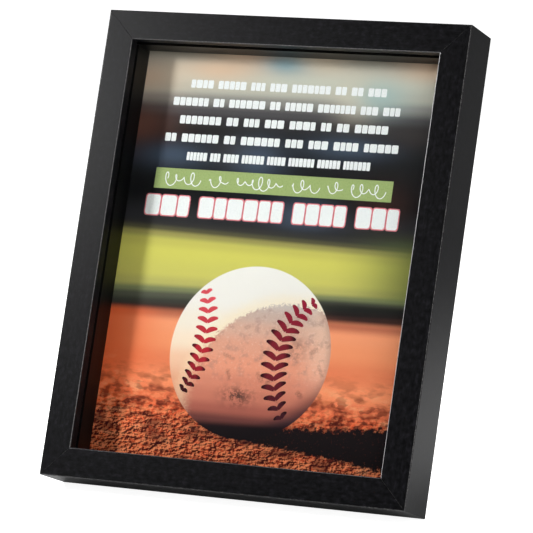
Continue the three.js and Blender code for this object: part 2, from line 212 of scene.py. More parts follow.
def place_in(tree, from_row, scale=1 / MM):
    """The object's coordinates seen from another frame, such as upright ones, in millimetres."""
    inputs = {
        "Vector": node(tree, "ShaderNodeTexCoord", output="Object"),
        "Location": from_row.translation * scale,
        "Rotation": from_row.to_euler(),
        "Scale": (scale, scale, scale),
    }
    return node(tree, "ShaderNodeMapping", inputs)


def carried_place(tree, name):
    return node(tree, "ShaderNodeAttribute", output="Vector", attribute_name=name)


def carried_number(tree, name):
    return node(tree, "ShaderNodeAttribute", output="Fac", attribute_name=name)


def split(vector):
    parts = new_node(vector.tree, "ShaderNodeSeparateXYZ", {"Vector": vector})
    return [Wire(output) for output in parts.outputs]


def gather(x, y, z, tree=None):
    tree = tree or next(w for w in (x, y, z) if isinstance(w, Wire)).tree
    return node(tree, "ShaderNodeCombineXYZ", {"X": x, "Y": y, "Z": z})


def stretched(vector, x=1.0, y=1.0, z=1.0):
    return node(vector.tree, "ShaderNodeMapping", {"Vector": vector, "Scale": (x, y, z)})


def shifted(vector, x, y):
    return node(vector.tree, "ShaderNodeMapping", {"Vector": vector, "Location": (x, y, 0)})


def noise(vector, size, detail=3.0, roughness=0.55):
    """A cloudy pattern from 0 to 1, whose lumps are about size across."""
    inputs = {"Vector": vector, "Scale": 1 / size, "Detail": detail, "Roughness": roughness}
    return node(vector.tree, "ShaderNodeTexNoise", inputs, "Fac")


def relief(tree, height, depth):
    """A bump whose height from 0 to 1 stands for depth in metres."""
    return node(tree, "ShaderNodeBump", {"Height": height, "Distance": depth})


def finish(name, build, **constants):
    """A material with one Principled shader: constants are set on it, build adds what varies."""
    material = bpy.data.materials.new(name)
    material.use_nodes = True
    tree = material.node_tree
    shader = tree.nodes["Principled BSDF"]
    for socket, value in constants.items():
        feed(shader.inputs[socket.replace("_", " ")], value)
    for socket, value in build(tree).items():
        feed(shader.inputs[socket], value)
    print("finish:", name, len(tree.nodes), "nodes")
    return material


# %% [markdown]
# ## Stage, light and camera
#
# A product shot of a black frame is lit by what it reflects. A square softbox stands at the left,
# a little above, so that the left rail and the top corner shine more than the right and bottom ones,
# and the box's left wall throws a soft shadow on the picture. A wide panel overhead whitens the floor.
# Room and floor are plain white to the eye. For reflections the room is dark grey, a little paler
# behind the object and beside it, and the floor only glows some way off, so that the underside stays
# dark. The camera stands far off with a long lens, to the right of the frame and a little above it.

# %% Putting things into the scene
def in_scene(name, data):
    thing = bpy.data.objects.new(name, data)
    bpy.context.scene.collection.objects.link(thing)
    return thing


def aimed(thing, aim, direction, distance):
    """Moved off the aim in a direction, and turned to look back at it."""
    towards = Vector(direction).normalized()
    thing.location = aim + towards * distance
    thing.rotation_mode = "QUATERNION"
    thing.rotation_quaternion = towards.to_track_quat("Z", "Y")
    return thing


# %% Floor
def floor_finish(tree):
    place = place_in(tree, Matrix.Identity(4), 1)
    speckle = noise(place, 0.04, 2)
    from_object = node(tree, "ShaderNodeVectorMath", {0: place}, "Value", operation="LENGTH")
    far_and_near = step_up(from_object, 0.75, 0.3, 1.3) + step_up(from_object, 1.0, 1.6, 0.4) + 0.05
    lit_ring = step_up(from_object, 0.105, 0.21) * far_and_near
    eye = node(tree, "ShaderNodeLightPath", output="Is Camera Ray")
    to_the_eye = eye * (step_up(from_object, 0.2, 0.8, 0.18) + 0.92)
    white = shade_card(speckle, tones((0.3, 240, 240, 240), (0.7, 245, 245, 245)))
    return {
        "Base Color": blend(step_up(from_object, 0.45, 0.8, 0.85), white, paint(120, 120, 120)),
        "Emission Strength": maths("MAXIMUM", to_the_eye, lit_ring + 0.04),
    }


def make_floor(half_width):
    mesh = bpy.data.meshes.new("floor")
    corners = [(-1, -1, 0), (1, -1, 0), (1, 1, 0), (-1, 1, 0)]
    mesh.from_pydata([Vector(corner) * half_width for corner in corners], [], [(0, 1, 2, 3)])
    floor = in_scene("floor", mesh)
    white_card = finish("white_card", floor_finish, Roughness=0.9)
    white_card.node_tree.nodes["Principled BSDF"].inputs["Emission Color"].default_value = (1, 1, 1, 1)
    mesh.materials.append(white_card)
    return floor


floor = make_floor(6.0)
print("floor", floor.dimensions[:])

# %% Room
def make_room(behind, in_front, beside):
    """White to the eye. For reflections it is paler behind the object and beside it than in front."""
    world = bpy.data.worlds.new("studio")
    bpy.context.scene.world = world
    world.use_nodes = True
    tree = world.node_tree
    background = tree.nodes["Background"]
    background.inputs["Color"].default_value = (1, 1, 1, 1)
    rightwards, backwards, _ = split(node(tree, "ShaderNodeTexCoord", output="Generated"))
    grey = step_up(backwards, -0.5, 0.9, behind - in_front) + in_front
    grey = grey + step_up(rightwards, 0.75, 1.0, beside)
    eye = node(tree, "ShaderNodeLightPath", output="Is Camera Ray")
    feed(background.inputs["Strength"], maths("MAXIMUM", eye * 1.05, grey))
    return world


make_room(behind=0.022, in_front=0.0135, beside=0.09)

# %% Lamps
AIM = Vector((0, 0, 0.13))


def softbox(name, direction, distance, width, height, power):
    light = bpy.data.lights.new(name, "AREA")
    light.shape = "RECTANGLE"
    light.size = width
    light.size_y = height
    light.energy = power
    return aimed(in_scene(name, light), AIM, direction, distance)


softbox("key_softbox", LEANING.to_3x3() @ Vector((-0.80, -1.0, 0.32)), 1.5, 0.22, 0.22, 16.8)
softbox("fill_softbox", LEANING.to_3x3() @ Vector((0.8, -1.0, 0.2)), 2.0, 1.2, 1.2, 18.3)
softbox("overhead_panel", (0.0, 0.35, 1.0), 1.6, 1.6, 1.6, 14)
softbox("right_strip", (0.9, 0.45, 0.5), 1.3, 0.3, 0.9, 2.8)
softbox("rear_panel", (-0.3, 1.0, 0.45), 1.6, 0.9, 0.9, 8)

# %% Camera
def make_camera(aim, azimuth, elevation, distance, lens):
    camera = in_scene("camera", bpy.data.cameras.new("camera"))
    bpy.context.scene.camera = camera
    camera.data.lens = lens
    camera.data.sensor_width = 36
    camera.data.clip_end = 50
    level = math.cos(elevation)
    towards = (math.sin(azimuth) * level, -math.cos(azimuth) * level, math.sin(elevation))
    return aimed(camera, aim, towards, distance)


camera = make_camera(Vector((-0.0081, 0, 0.1283)), math.radians(24.99), math.radians(9.05), 2.1354, 246.3)
bpy.context.scene.view_settings.view_transform = "Standard"
print("camera at", [round(c, 3) for c in camera.location])

# %% [markdown]
# ## Small helpers for meshes
#
# Geometry Nodes trees make what repeats or follows a rule. `sizes_in` opens a tree with one named
# input for each size, and `grown` runs a tree and keeps the plain mesh that comes out, so that no
# modifier is left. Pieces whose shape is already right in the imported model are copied, merged and
# given softened edges, because no real edge is perfectly sharp and a soft edge catches the light.
# Their rounds are as wide as the bevel's own limit lets them be.

# %% Geometry Nodes
def sizes_in(name, *sizes, objects=()):
    """A new tree with float inputs for sizes, object inputs, and a material: (tree, its inputs, close)."""
    tree = bpy.data.node_groups.new(name, "GeometryNodeTree")
    tree.interface.new_socket("Geometry", in_out="INPUT", socket_type="NodeSocketGeometry")
    tree.interface.new_socket("Geometry", in_out="OUTPUT", socket_type="NodeSocketGeometry")
    for size in sizes:
        tree.interface.new_socket(size, in_out="INPUT", socket_type="NodeSocketFloat")
    for shape in objects:
        tree.interface.new_socket(shape, in_out="INPUT", socket_type="NodeSocketObject")
    tree.interface.new_socket("Material", in_out="INPUT", socket_type="NodeSocketMaterial")
    group = tree.nodes.new("NodeGroupInput")
    inputs = {output.name: Wire(output) for output in group.outputs if output.name}

    def close(geometry):
        real = node(tree, "GeometryNodeRealizeInstances", {"Geometry": geometry})
        painted = {"Geometry": real, "Material": inputs["Material"]}
        feed(tree.nodes.new("NodeGroupOutput").inputs[0], node(tree, "GeometryNodeSetMaterial", painted))

    return tree, inputs, close


def made_mesh(thing):
    """The mesh that an object's modifiers make."""
    bpy.context.view_layer.update()
    evaluated = thing.evaluated_get(bpy.context.evaluated_depsgraph_get())
    return bpy.data.meshes.new_from_object(evaluated)


def grown(name, tree, material, start=None, **values):
    """The plain mesh piece that a tree makes from a starting mesh and its sizes."""
    seed = in_scene(name + "_seed", start or bpy.data.meshes.new(name + "_seed"))
    modifier = seed.modifiers.new("grow", "NODES")
    modifier.node_group = tree
    values["Material"] = material
    for item in tree.interface.items_tree:
        key = item.name.replace(" ", "_")
        if item.in_out == "INPUT" and key in values:
            modifier[item.identifier] = values[key]
    mesh = made_mesh(seed)
    mesh.name = name
    bpy.data.objects.remove(seed)
    return piece_of(name, mesh)


def piece_of(name, mesh, material=None):
    piece = in_scene(name, mesh)
    if material:
        mesh.materials.clear()
        mesh.materials.append(material)
    return piece


def curve_through(tree, corners, closed):
    """A curve from corner to corner: a ring or line of points is moved onto the listed places."""
    kind = "GeometryNodeMeshCircle" if closed else "GeometryNodeMeshLine"
    dots = node(tree, kind, {"Vertices" if closed else "Count": len(corners)})
    spots = chosen(tree, node(tree, "GeometryNodeInputIndex"), corners)
    outline = node(tree, "GeometryNodeSetPosition", {"Geometry": dots, "Position": spots})
    return node(tree, "GeometryNodeMeshToCurve", {"Mesh": outline})


def chosen(tree, index, choices):
    """The vector in the list that a whole number points at."""
    switch = new_node(tree, "GeometryNodeIndexSwitch", data_type="VECTOR")
    for _ in choices[2:]:
        switch.index_switch_items.new()
    feed(switch.inputs["Index"], index)
    for number, vector in enumerate(choices):
        feed(switch.inputs[number + 1], vector)
    return Wire(switch.outputs[0])


# %% Finishing a mesh
AS_ROUND_AS_FITS = 1.0  # metres: the bevel itself stops where two rounds would run into each other


def faced_out(mesh):
    """Merge doubles and make the faces of a closed mesh point outwards."""
    body = bmesh.new()
    body.from_mesh(mesh)
    bmesh.ops.remove_doubles(body, verts=body.verts, dist=0.0005 * MM)
    bmesh.ops.recalc_face_normals(body, faces=body.faces)
    body.to_mesh(mesh)
    body.free()


def baked(piece):
    """What the modifiers make becomes the piece's own mesh, and no modifier is left."""
    mesh = made_mesh(piece)
    piece.modifiers.clear()
    piece.data = mesh
    return piece


def smooth(piece, angle=40):
    """Round parts shade round while large flat faces stay flat."""
    for face in piece.data.polygons:
        face.use_smooth = True
    piece.data.set_sharp_from_angle(angle=math.radians(angle))
    weighted = piece.modifiers.new("flat_faces", "WEIGHTED_NORMAL")
    weighted.keep_sharp = True
    return baked(piece)


def rounded(piece, width, segments=3, angle=35):
    """Every edge sharper than angle gets a round of that width."""
    bevel = piece.modifiers.new("round", "BEVEL")
    bevel.width = width
    bevel.segments = segments
    bevel.limit_method = "ANGLE"
    bevel.angle_limit = math.radians(angle)
    return smooth(baked(piece))


def placed(piece, matrix):
    piece.data.transform(matrix)
    piece.data.update()
    return piece


def softened(name, cad_node, material):
    """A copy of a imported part, merged, its flat faces joined up again, and as round as it can be."""
    mesh = frame["nodes"][cad_node].data.copy()
    mesh.name = name
    body = bmesh.new()
    body.from_mesh(mesh)
    bmesh.ops.remove_doubles(body, verts=body.verts, dist=0.002 * MM)
    flat = math.radians(1)
    bmesh.ops.dissolve_limit(body, angle_limit=flat, verts=body.verts, edges=body.edges)
    body.to_mesh(mesh)
    body.free()
    return rounded(piece_of(name, mesh, material), AS_ROUND_AS_FITS)


def on_body(piece, body, slot, *nodes):
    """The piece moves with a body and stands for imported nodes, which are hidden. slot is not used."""
    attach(piece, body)
    if nodes:
        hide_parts(*nodes)
    print(piece.name, "on", body, "with", len(piece.data.polygons), "faces")
    return piece


# %% [markdown]
# ## The rails
#
# The four sides are fibreboard mouldings wrapped in a thin black foil with a satin sheen. One
# moulding is milled by the metre: its section is an L, with a wide face, a lip in front of the glass
# and a deep rabbet behind it. Each rail is sawn off at 45 degrees at both ends. A tree does the same:
# it draws the section, rounds its corners, sweeps it along a line, and slants both ends. The last
# fraction of a millimetre before a mitre shrinks a little, as the foil does where the saw went through.

# %% A tree that mills a mitred rail
def milled_rail_tree():
    names = ("Length", "Face", "Depth", "Rabbet", "Lip", "Corner Radius", "Saw Gap", "Frayed End")
    tree, size, close = sizes_in("milled_rail", *names)
    face, depth, rabbet, lip = (size[name] for name in ("Face", "Depth", "Rabbet", "Lip"))
    section = [(0, 0), (face, 0), (face, lip), (rabbet, lip), (rabbet, depth), (0, depth)]
    corners = [gather(y * -1, z * -1, 0, tree) for z, y in section]
    curve = curve_through(tree, corners, closed=True)
    rounds = {"Curve": curve, "Count": 5, "Radius": size["Corner Radius"], "Limit Radius": True}
    fillet = node(tree, "GeometryNodeFilletCurve", rounds, mode="POLY")
    half = size["Length"] * 0.5
    frayed = half - size["Frayed End"]
    stations = [gather(x, 0, 0, tree) for x in (half * -1, frayed * -1, frayed, half)]
    path = curve_through(tree, stations, closed=False)
    sweep = {"Curve": path, "Profile Curve": fillet, "Fill Caps": True}
    bar = node(tree, "GeometryNodeCurveToMesh", sweep)
    along, deep, inward = split(node(tree, "GeometryNodeInputPosition"))
    at_end = maths("GREATER_THAN", maths("ABSOLUTE", along), half - size["Frayed End"] * 0.5)
    shrink = at_end * size["Frayed End"] * 0.5
    middle_depth, middle_inward = depth * 0.5, rabbet * 0.5
    slimmer_depth = deep + shrink * maths("SIGN", middle_depth - deep)
    slimmer_inward = inward + shrink * maths("SIGN", middle_inward - inward)
    sawn = along * (half - inward - size["Saw Gap"]) / half
    shape = gather(sawn, slimmer_depth, slimmer_inward)
    cut = node(tree, "GeometryNodeSetPosition", {"Geometry": bar, "Position": shape})
    carried = {"Geometry": cut, "Name": "rail_place", "Value": node(tree, "GeometryNodeInputPosition")}
    placed_once = node(tree, "GeometryNodeStoreNamedAttribute", carried, data_type="FLOAT_VECTOR")
    carried = {"Geometry": placed_once, "Name": "rail_half", "Value": half}
    close(node(tree, "GeometryNodeStoreNamedAttribute", carried, data_type="FLOAT"))
    return tree


MILLED_RAIL = milled_rail_tree()
print("tree:", MILLED_RAIL.name, len(MILLED_RAIL.nodes), "nodes")


# %% [markdown]
# The foil is printed paper under a hard satin varnish. Close up it isn't even: a fine pebbled grain,
# faint streaks along the rail, and patches where the varnish is a little duller. Beside the mitres,
# handling has rubbed it to a dull grey line. On the front arrises a dull grey line is painted too:
# partly rubbed wear, partly a painted highlight of the light that the rounded edges catch. A few dust
# specks have settled.
# Where the foil folds over the lip of the right rail, a pale line is painted as the highlight of the lamp at
# the left, which that edge faces.

# %% Black foil
def black_foil(tree):
    place = stretched(carried_place(tree, "rail_place"), 1 / MM, 1 / MM, 1 / MM)
    along, deep, inward = split(place)
    half = carried_number(tree, "rail_half") / MM
    streaks = noise(stretched(place, 0.06, 1, 1), 0.9, 4)
    pebbles = noise(place, 0.38, 2, 0.6)
    mottle = noise(stretched(place, 0.6, 1, 1), 2.4, 4, 0.65)
    blacks = tones((0.40, 4, 4, 5), (0.52, 10, 10, 12), (0.64, 20, 19, 23))
    tone = shade_card(streaks * 0.2 + mottle * 0.8, blacks)
    to_mitre = half - maths("ABSOLUTE", along) - inward
    to_front = maths("ABSOLUTE", deep)
    to_side = maths("MINIMUM", maths("ABSOLUTE", inward), maths("ABSOLUTE", inward - FACE / MM))
    arris = maths("MAXIMUM", to_front, to_side)
    broken = noise(place, 1.7, 4, 0.7)
    # Pale grey on the front arrises: partly rubbed wear, partly a painted highlight of the rounded edges.
    arris_wear_and_highlight = step_up(arris, 0.75, 0.35) * step_up(broken, 0.45, 0.62)
    rubbed_mitre = step_up(to_mitre, 0.5, 0.1) * step_up(broken, 0.45, 0.65) * 0.45
    # A painted highlight on the inner lip arris, strongest on the right rail, which faces the lamp at the
    # left.
    at_lip = step_up(inward, FACE / MM - 2, FACE / MM - 1) * step_up(deep, 2, 1)
    across = split(place_in(tree, UPRIGHT))[0]
    on_right_rail = step_up(half, RIGHT / MM, TOP / MM / 2) * step_up(across, 60, 90)
    lip_highlight = step_up(arris, 0.52, 0.3) * at_lip * (on_right_rail * 0.9 + 0.1)
    wear_and_arris_highlight = maths("MAXIMUM", arris_wear_and_highlight * 0.5, rubbed_mitre)
    dust = step_up(noise(place, 1.1, 1), 0.80, 0.84, 0.5)
    colour = blend(wear_and_arris_highlight, tone, paint(78, 76, 74))
    colour = blend(lip_highlight * (broken * 0.5 + 0.6), colour, paint(204, 203, 206))
    colour = blend(dust, colour, paint(120, 118, 116))
    height = pebbles * 0.4 + streaks * 0.3 + mottle * 0.3
    return {
        "Base Color": colour,
        "Roughness": mottle * 0.14 + streaks * 0.06 + wear_and_arris_highlight * 0.2 + 0.21,
        "Coat Weight": step_up(arris, 0.8, 0.3) * (broken * 0.6 + 0.4),
        "Normal": relief(tree, height, 0.009 * MM),
    }


BLACK_FOIL = finish("black_foil", black_foil, Specular_IOR_Level=0.05, Coat_Roughness=0.16)

# %% Mill the four rails
def rail_matrix(turn, at):
    return LEANING @ Matrix.Translation(at) @ Matrix.Rotation(math.radians(turn), 4, "Y")


RAILS = {
    "bottom": (RIGHT - LEFT, rail_matrix(0, (0, 0, 0))),
    "left": (TOP, rail_matrix(90, (LEFT, 0, TOP / 2))),
    "top": (RIGHT - LEFT, rail_matrix(180, (0, 0, TOP))),
    "right": (TOP, rail_matrix(-90, (RIGHT, 0, TOP / 2))),
}
for side, (length, matrix) in RAILS.items():
    rail = grown(
        "foil_rail_" + side,
        MILLED_RAIL,
        BLACK_FOIL,
        Length=length,
        Face=FACE,
        Depth=DEPTH,
        Rabbet=RABBET,
        Lip=LIP,
        Corner_Radius=0.7 * MM,
        Saw_Gap=0.025 * MM,
        Frayed_End=0.14 * MM,
    )
    faced_out(rail.data)
    placed(smooth(rail, 30), matrix)
    on_body(rail, "frame", "black_foil", side + "_rail")

# %% [markdown]
# ## Glass and spacers
#
# The glass is 2 mm float glass. Straight through, it is all but invisible; it only mirrors a little,
# and more at a slant. A mix of a clear and a mirror shader by Fresnel does that, and unlike true
# refraction it lets the lamps light the picture behind it. The cut edges are greenish, but the
# rabbet hides them. The spacers are extruded black plastic strips with a satin finish, so they take
# only a faint tint from the picture. Both shapes are right as packed and only get their finish.

# %% Clear glass
def clear_glass():
    material = bpy.data.materials.new("clear_glass")
    material.use_nodes = True
    tree = material.node_tree
    tree.nodes.remove(tree.nodes["Principled BSDF"])
    smear = noise(place_in(tree, UPRIGHT), 30, 3)
    clear = node(tree, "ShaderNodeBsdfTransparent", {"Color": paint(252, 254, 253)})
    mirror = node(tree, "ShaderNodeBsdfGlossy", {"Roughness": smear * 0.03})
    slant = node(tree, "ShaderNodeFresnel") * 0.4
    mixed = node(tree, "ShaderNodeMixShader", {0: slant, 1: clear, 2: mirror})
    feed(tree.nodes["Material Output"].inputs["Surface"], mixed)
    return material


# %% Spacer plastic
def spacer_plastic(tree):
    place = place_in(tree, UPRIGHT)
    haze = noise(place, 9, 3)
    fine = noise(place, 0.8, 2)
    return {
        "Base Color": shade_card(haze, tones((0.3, 5, 5, 6), (0.7, 9, 8, 9))),
        "Roughness": haze * 0.1 + fine * 0.05 + 0.3,
    }


def refinished(cad_node, material):
    """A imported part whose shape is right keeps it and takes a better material."""
    part = frame["nodes"][cad_node]
    part.data.materials.clear()
    part.data.materials.append(material)
    print("refinished", cad_node)


refinished("glass_pane", clear_glass())
SPACER_PLASTIC = finish("spacer_plastic", spacer_plastic, IOR=1.3)
for side in RAILS:
    refinished("spacer_" + side, SPACER_PLASTIC)

# %% [markdown]
# ## The picture
#
# The print shows a ball at rest on red dirt in front of a blurred field: a plain still life painted
# by nodes, in millimetres across from the print's left edge and down from its top edge. Where
# patches, scuffs and blocks fall is dealt by fixed seeds. It is built up as a painter works: the
# blurred stands, the strip of grass, the dirt with its grains, the shadow, then the ball with its
# light, its shade and its scuffs.

# %% Where the print lies
PRINT_FACE = (
    LEANING
    @ Matrix.Translation((PRINT_LOW.x, PRINT_LOW.y, PRINT_HIGH.z))
    @ Matrix.Rotation(math.radians(90), 4, "X")
)
BALL = Vector((97, 180))
BALL_RADIUS = 51


def blot(across, down, x, y, wide, tall):
    """A soft round patch: 1 in its middle, and nearly 0 beyond wide and tall."""
    dx = (across - x) / (wide * 0.6)
    dy = (down - y) / (tall * 0.6)
    return maths("POWER", math.e, (dx * dx + dy * dy) * -1)


def distance(across, down, x, y):
    dx, dy = across - x, down - y
    return maths("SQRT", dx * dx + dy * dy)


def smear(across, down, start, end, width):
    """A smudged stroke between two points."""
    (x0, y0), (x1, y1) = start, end
    length = math.hypot(x1 - x0, y1 - y0)
    ux, uy = (x1 - x0) / length, (y1 - y0) / length
    dx, dy = across - x0, down - y0
    along = maths("MINIMUM", maths("MAXIMUM", dx * ux + dy * uy, 0), length)
    return step_up(distance(across, down, along * ux + x0, along * uy + y0), width, width * 0.2)


# %% Field and sky, out of focus
def light_patches(dealer):
    """Soft patches dealt at random: pale ones high up where the sky shows, dim ones lower down."""
    pale = [paint(236, 210, 184), paint(232, 190, 160), paint(164, 192, 194), paint(100, 160, 184)]
    dim = [paint(120, 76, 64), paint(76, 88, 108), paint(60, 38, 35), paint(66, 60, 60)]
    dealt_over = 202  # mm from the left edge
    patches = []
    for colours, top, bottom, count in ((pale, 2, 26, 8), (dim, 36, 98, 8)):
        for number in range(count):
            x = (number + dealer.uniform(0, 1)) * dealt_over / count
            box = (x, dealer.uniform(top, bottom), dealer.uniform(22, 44), dealer.uniform(10, 24))
            patches.append((box, colours[dealer.randrange(len(colours))]))
    return patches


def blurred_field(across, down):
    stands = shade_card(down, tones(
        (0, 118, 112, 104), (9, 198, 190, 178), (17, 206, 204, 192), (25, 196, 190, 178),
        (31, 148, 143, 139), (38, 84, 80, 83), (44, 54, 50, 52), (51, 40, 37, 38),
        (66, 33, 32, 34), (88, 22, 22, 24), (104, 46, 44, 48),
    ))
    for (x, y, wide, tall), colour in light_patches(random.Random(21)):
        stands = blend(blot(across, down, x, y, wide, tall) * 0.75, stands, colour)
    narrowed = (down - 131) * ((across - 60) * 0.0013 + 1) + 131
    turf = shade_card(narrowed, tones(
        (103, 44, 42, 44), (108, 58, 56, 53), (111, 88, 83, 62), (114, 160, 151, 88),
        (118, 204, 194, 98), (124, 217, 208, 102), (136, 210, 201, 104), (142, 190, 182, 104),
        (146, 126, 130, 92), (149, 86, 87, 74), (153, 60, 60, 54), (156, 66, 50, 46),
        (159, 120, 72, 60), (166, 240, 152, 112),
    ))
    field = blend(step_up(down, 103, 111), stands, turf)
    # The grass is painted darker towards the print's right edge.
    darker_to_right = step_up(across, 138, 200) * step_up(down, 100, 120) * step_up(down, 150, 140)
    field = blend(darker_to_right * 0.8, field, paint(98, 108, 62))
    fence = step_up(across, 90, 165) * step_up(down, 144, 149) * step_up(down, 160, 156)
    return blend(fence * 0.8, field, paint(24, 23, 25))


# %% Red dirt, blurred far away and sharp in front
def red_dirt(across, down, place, field):
    dirt = shade_card(down, tones(
        (160, 192, 108, 82), (166, 252, 158, 116), (176, 250, 152, 108), (188, 240, 132, 92),
        (200, 255, 150, 106), (210, 238, 116, 78), (218, 240, 98, 58), (228, 246, 98, 58),
        (240, 228, 90, 54),
    ))
    dirt = blend(step_up(across, 46, 4) * 0.85, dirt, paint(236, 98, 50))
    near = step_up(down, 180, 216)
    banks = noise(stretched(place, 0.42, 1, 1), 7, 3, 0.55)
    dirt = blend(step_up(banks, 0.52, 0.36) * near * 0.75, dirt, paint(122, 42, 26))
    dirt = blend(step_up(banks, 0.54, 0.68) * near * 0.75, dirt, paint(255, 174, 128))
    flat = stretched(place, 0.62, 1, 1)
    lumps = ((6.5, 1.7, 190, 218, 0.9), (3.4, 0.9, 204, 226, 1.0), (1.5, 0.42, 212, 230, 1.0))
    for size, reach, top, bottom, most in lumps:
        amount = step_up(down, top, bottom, most)
        slope = noise(flat, size, 2) - noise(shifted(flat, -reach, reach), size, 2)
        dirt = blend(step_up(slope, 0.02, 0.13) * amount * 0.8, dirt, paint(255, 148, 100))
        dirt = blend(step_up(slope, -0.01, -0.10) * amount * 0.85, dirt, paint(60, 14, 16))
    hollows = noise(stretched(place, 0.5, 1, 1), 9, 3, 0.6)
    dirt = blend(step_up(hollows, 0.52, 0.36) * step_up(down, 204, 226) * 0.7, dirt, paint(70, 20, 20))
    return blend(step_up(down, 156, 161), field, dirt)


# %% The ball's shadow on the dirt
def shadow_on_dirt(across, down, place, picture):
    jag = (noise(place, 3.2, 4, 0.65) - 0.5) * 14
    above = (across - 150) * -0.1 + 221
    below = (across - 70) * 0.12 + 227.5
    inside = step_up(down + jag - above, -1.5, 1.5) * step_up(down + jag * 0.8 - below, 1.5, -1.5)
    inside = inside * step_up(across + jag, 60, 72)
    under_ball = blot(across, down, 103, 224, 52, 13)
    flecks = step_up(noise(place, 1.6, 2), 0.60, 0.66) * 0.06
    dark = blend(flecks, paint(24, 17, 20), paint(170, 70, 50))
    return blend(maths("MINIMUM", inside + under_ball * 0.9, 1), picture, dark)


# %% The ball itself
def scuff_marks(dealer, count):
    """Short marks dealt at random round a spot near the ball's middle: (start, end, width, strength)."""
    spot = BALL + Vector((9, 5))
    marks = []
    for _ in range(count):
        angle, reach = dealer.uniform(0, math.tau), dealer.uniform(0.1, 0.7) * BALL_RADIUS
        x, y = spot.x + reach * math.cos(angle), spot.y + reach * math.sin(angle)
        slant, long = dealer.uniform(-0.6, 1.4), dealer.uniform(2, 8)
        end = (x + long * math.cos(slant), y + long * math.sin(slant))
        marks.append(((x, y), end, dealer.uniform(1.2, 2.4), dealer.uniform(0.3, 0.6)))
    return marks


def leather_ball(across, down, place, picture):
    from_middle = distance(across, down, BALL.x, BALL.y)
    in_light = shade_card(down, tones(
        (124, 248, 241, 238), (150, 246, 238, 234), (164, 249, 234, 220), (176, 254, 228, 205),
        (186, 250, 200, 170), (200, 238, 170, 138), (216, 190, 110, 88),
    ))
    in_shade = shade_card(down, tones(
        (130, 208, 192, 190), (150, 206, 190, 186), (158, 204, 174, 164), (166, 220, 172, 154),
        (176, 230, 162, 138), (188, 238, 156, 128), (198, 222, 138, 114), (207, 206, 122, 102),
        (214, 176, 98, 84), (220, 112, 62, 58), (225, 34, 22, 26),
    ))
    right_side = step_up(across, 124, 146) * step_up(down, 208, 180)
    in_shade = blend(right_side * 0.6, in_shade, paint(244, 200, 178))
    nap = noise(place, 1.5, 3, 0.65)
    ragged = (nap - 0.5) * 9
    shade_middle = BALL + Vector((24, 32))
    shade_radius = 62
    edge_of_light = distance(across, down, *shade_middle) - shade_radius + ragged
    soft = step_up(down, 165, 205) * 6 + 0.9
    lit = step_up(edge_of_light / soft, -1, 1)
    in_light = blend(step_up(edge_of_light, 10, 0) * 0.55, in_light, paint(252, 228, 192))
    leather = blend(lit, in_shade, in_light)
    mottle = noise(place, 6, 5, 0.66)
    shown = (1 - lit) * step_up(down, 208, 184)
    leather = blend(step_up(mottle, 0.50, 0.34) * shown * 0.4, leather, paint(158, 122, 116))
    leather = blend(step_up(nap, 0.56, 0.68) * shown * 0.25, leather, paint(246, 220, 208))
    pores = noise(place, 0.9, 5, 0.85)
    leather = blend(step_up(pores, 0.42, 0.34) * shown * 0.35, leather, paint(116, 88, 86))
    broken = step_up(pores, 0.40, 0.56)
    wander = (nap - 0.5) * 3
    for start, end, width, strength in scuff_marks(random.Random(11), 9):
        stroke = smear(across + wander, down - wander, start, end, width)
        leather = blend(stroke * broken * strength, leather, paint(84, 56, 54))
    below_middle = blot(across, down, BALL.x - 4, BALL.y + 26, 16, 9)
    right_of_middle = blot(across, down, BALL.x + 30, BALL.y - 4, 9, 12) * 0.4
    smudge = step_up(noise(place, 4.5, 5, 0.75), 0.42, 0.56)
    leather = blend((below_middle + right_of_middle) * smudge, leather, paint(88, 60, 54))
    turned_away = (across - BALL.x) * 0.62 + (down - BALL.y) * 0.78
    leather = blend(step_up(turned_away, 37, 54), leather, paint(44, 32, 42))
    rim = step_up(from_middle, BALL_RADIUS * 0.9, BALL_RADIUS)
    leather = blend(rim * shown * 0.3, leather, paint(120, 78, 74))
    touching = down + (across - 100) * 0.07
    leather = blend(step_up(touching, 219.5, 225.5), leather, paint(24, 17, 21))
    soft_edge = 0.3
    return blend(step_up(from_middle, BALL_RADIUS + soft_edge, BALL_RADIUS - soft_edge), picture, leather)


# %% [markdown]
# The layers are laid over each other and printed on satin photo paper, whose coating has a very
# fine tooth. The ink sits in the coating, so the sheen is the same over dark and light parts.

# %% Photo paper
def on_print(tree):
    return place_in(tree, PRINT_FACE.inverted())


def paper_tooth(tree, place):
    tooth = noise(place, 0.25, 2)
    return {"Roughness": tooth * 0.1 + 0.7, "Normal": relief(tree, tooth, 0.002 * MM)}


def printed_picture(tree):
    place = on_print(tree)
    across, upward, _ = split(place)
    down = upward * -1
    picture = blurred_field(across, down)
    picture = red_dirt(across, down, place, picture)
    picture = shadow_on_dirt(across, down, place, picture)
    picture = leather_ball(across, down, place, picture)
    return {"Base Color": picture, **paper_tooth(tree, place)}


PHOTO_PAPER = finish("photo_paper", printed_picture, Specular_IOR_Level=0.08)
refinished("art_print", PHOTO_PAPER)

# %% [markdown]
# ## Ink that stands on the picture
#
# What has a crisp edge on the print is made as thin ink: closed shapes a few hundredths of a
# millimetre proud of the paper. Ink repeats along lines, so trees place it. The stitches on the ball
# are tapered strokes in pairs along two seams. Where a poster would carry words, this one
# carries rows of plain blocks: they give the same rhythm of light and dark, and say nothing.

# %% Flat shapes to print with
INK_LOW, INK_HIGH = -0.05 * MM, 0.05 * MM


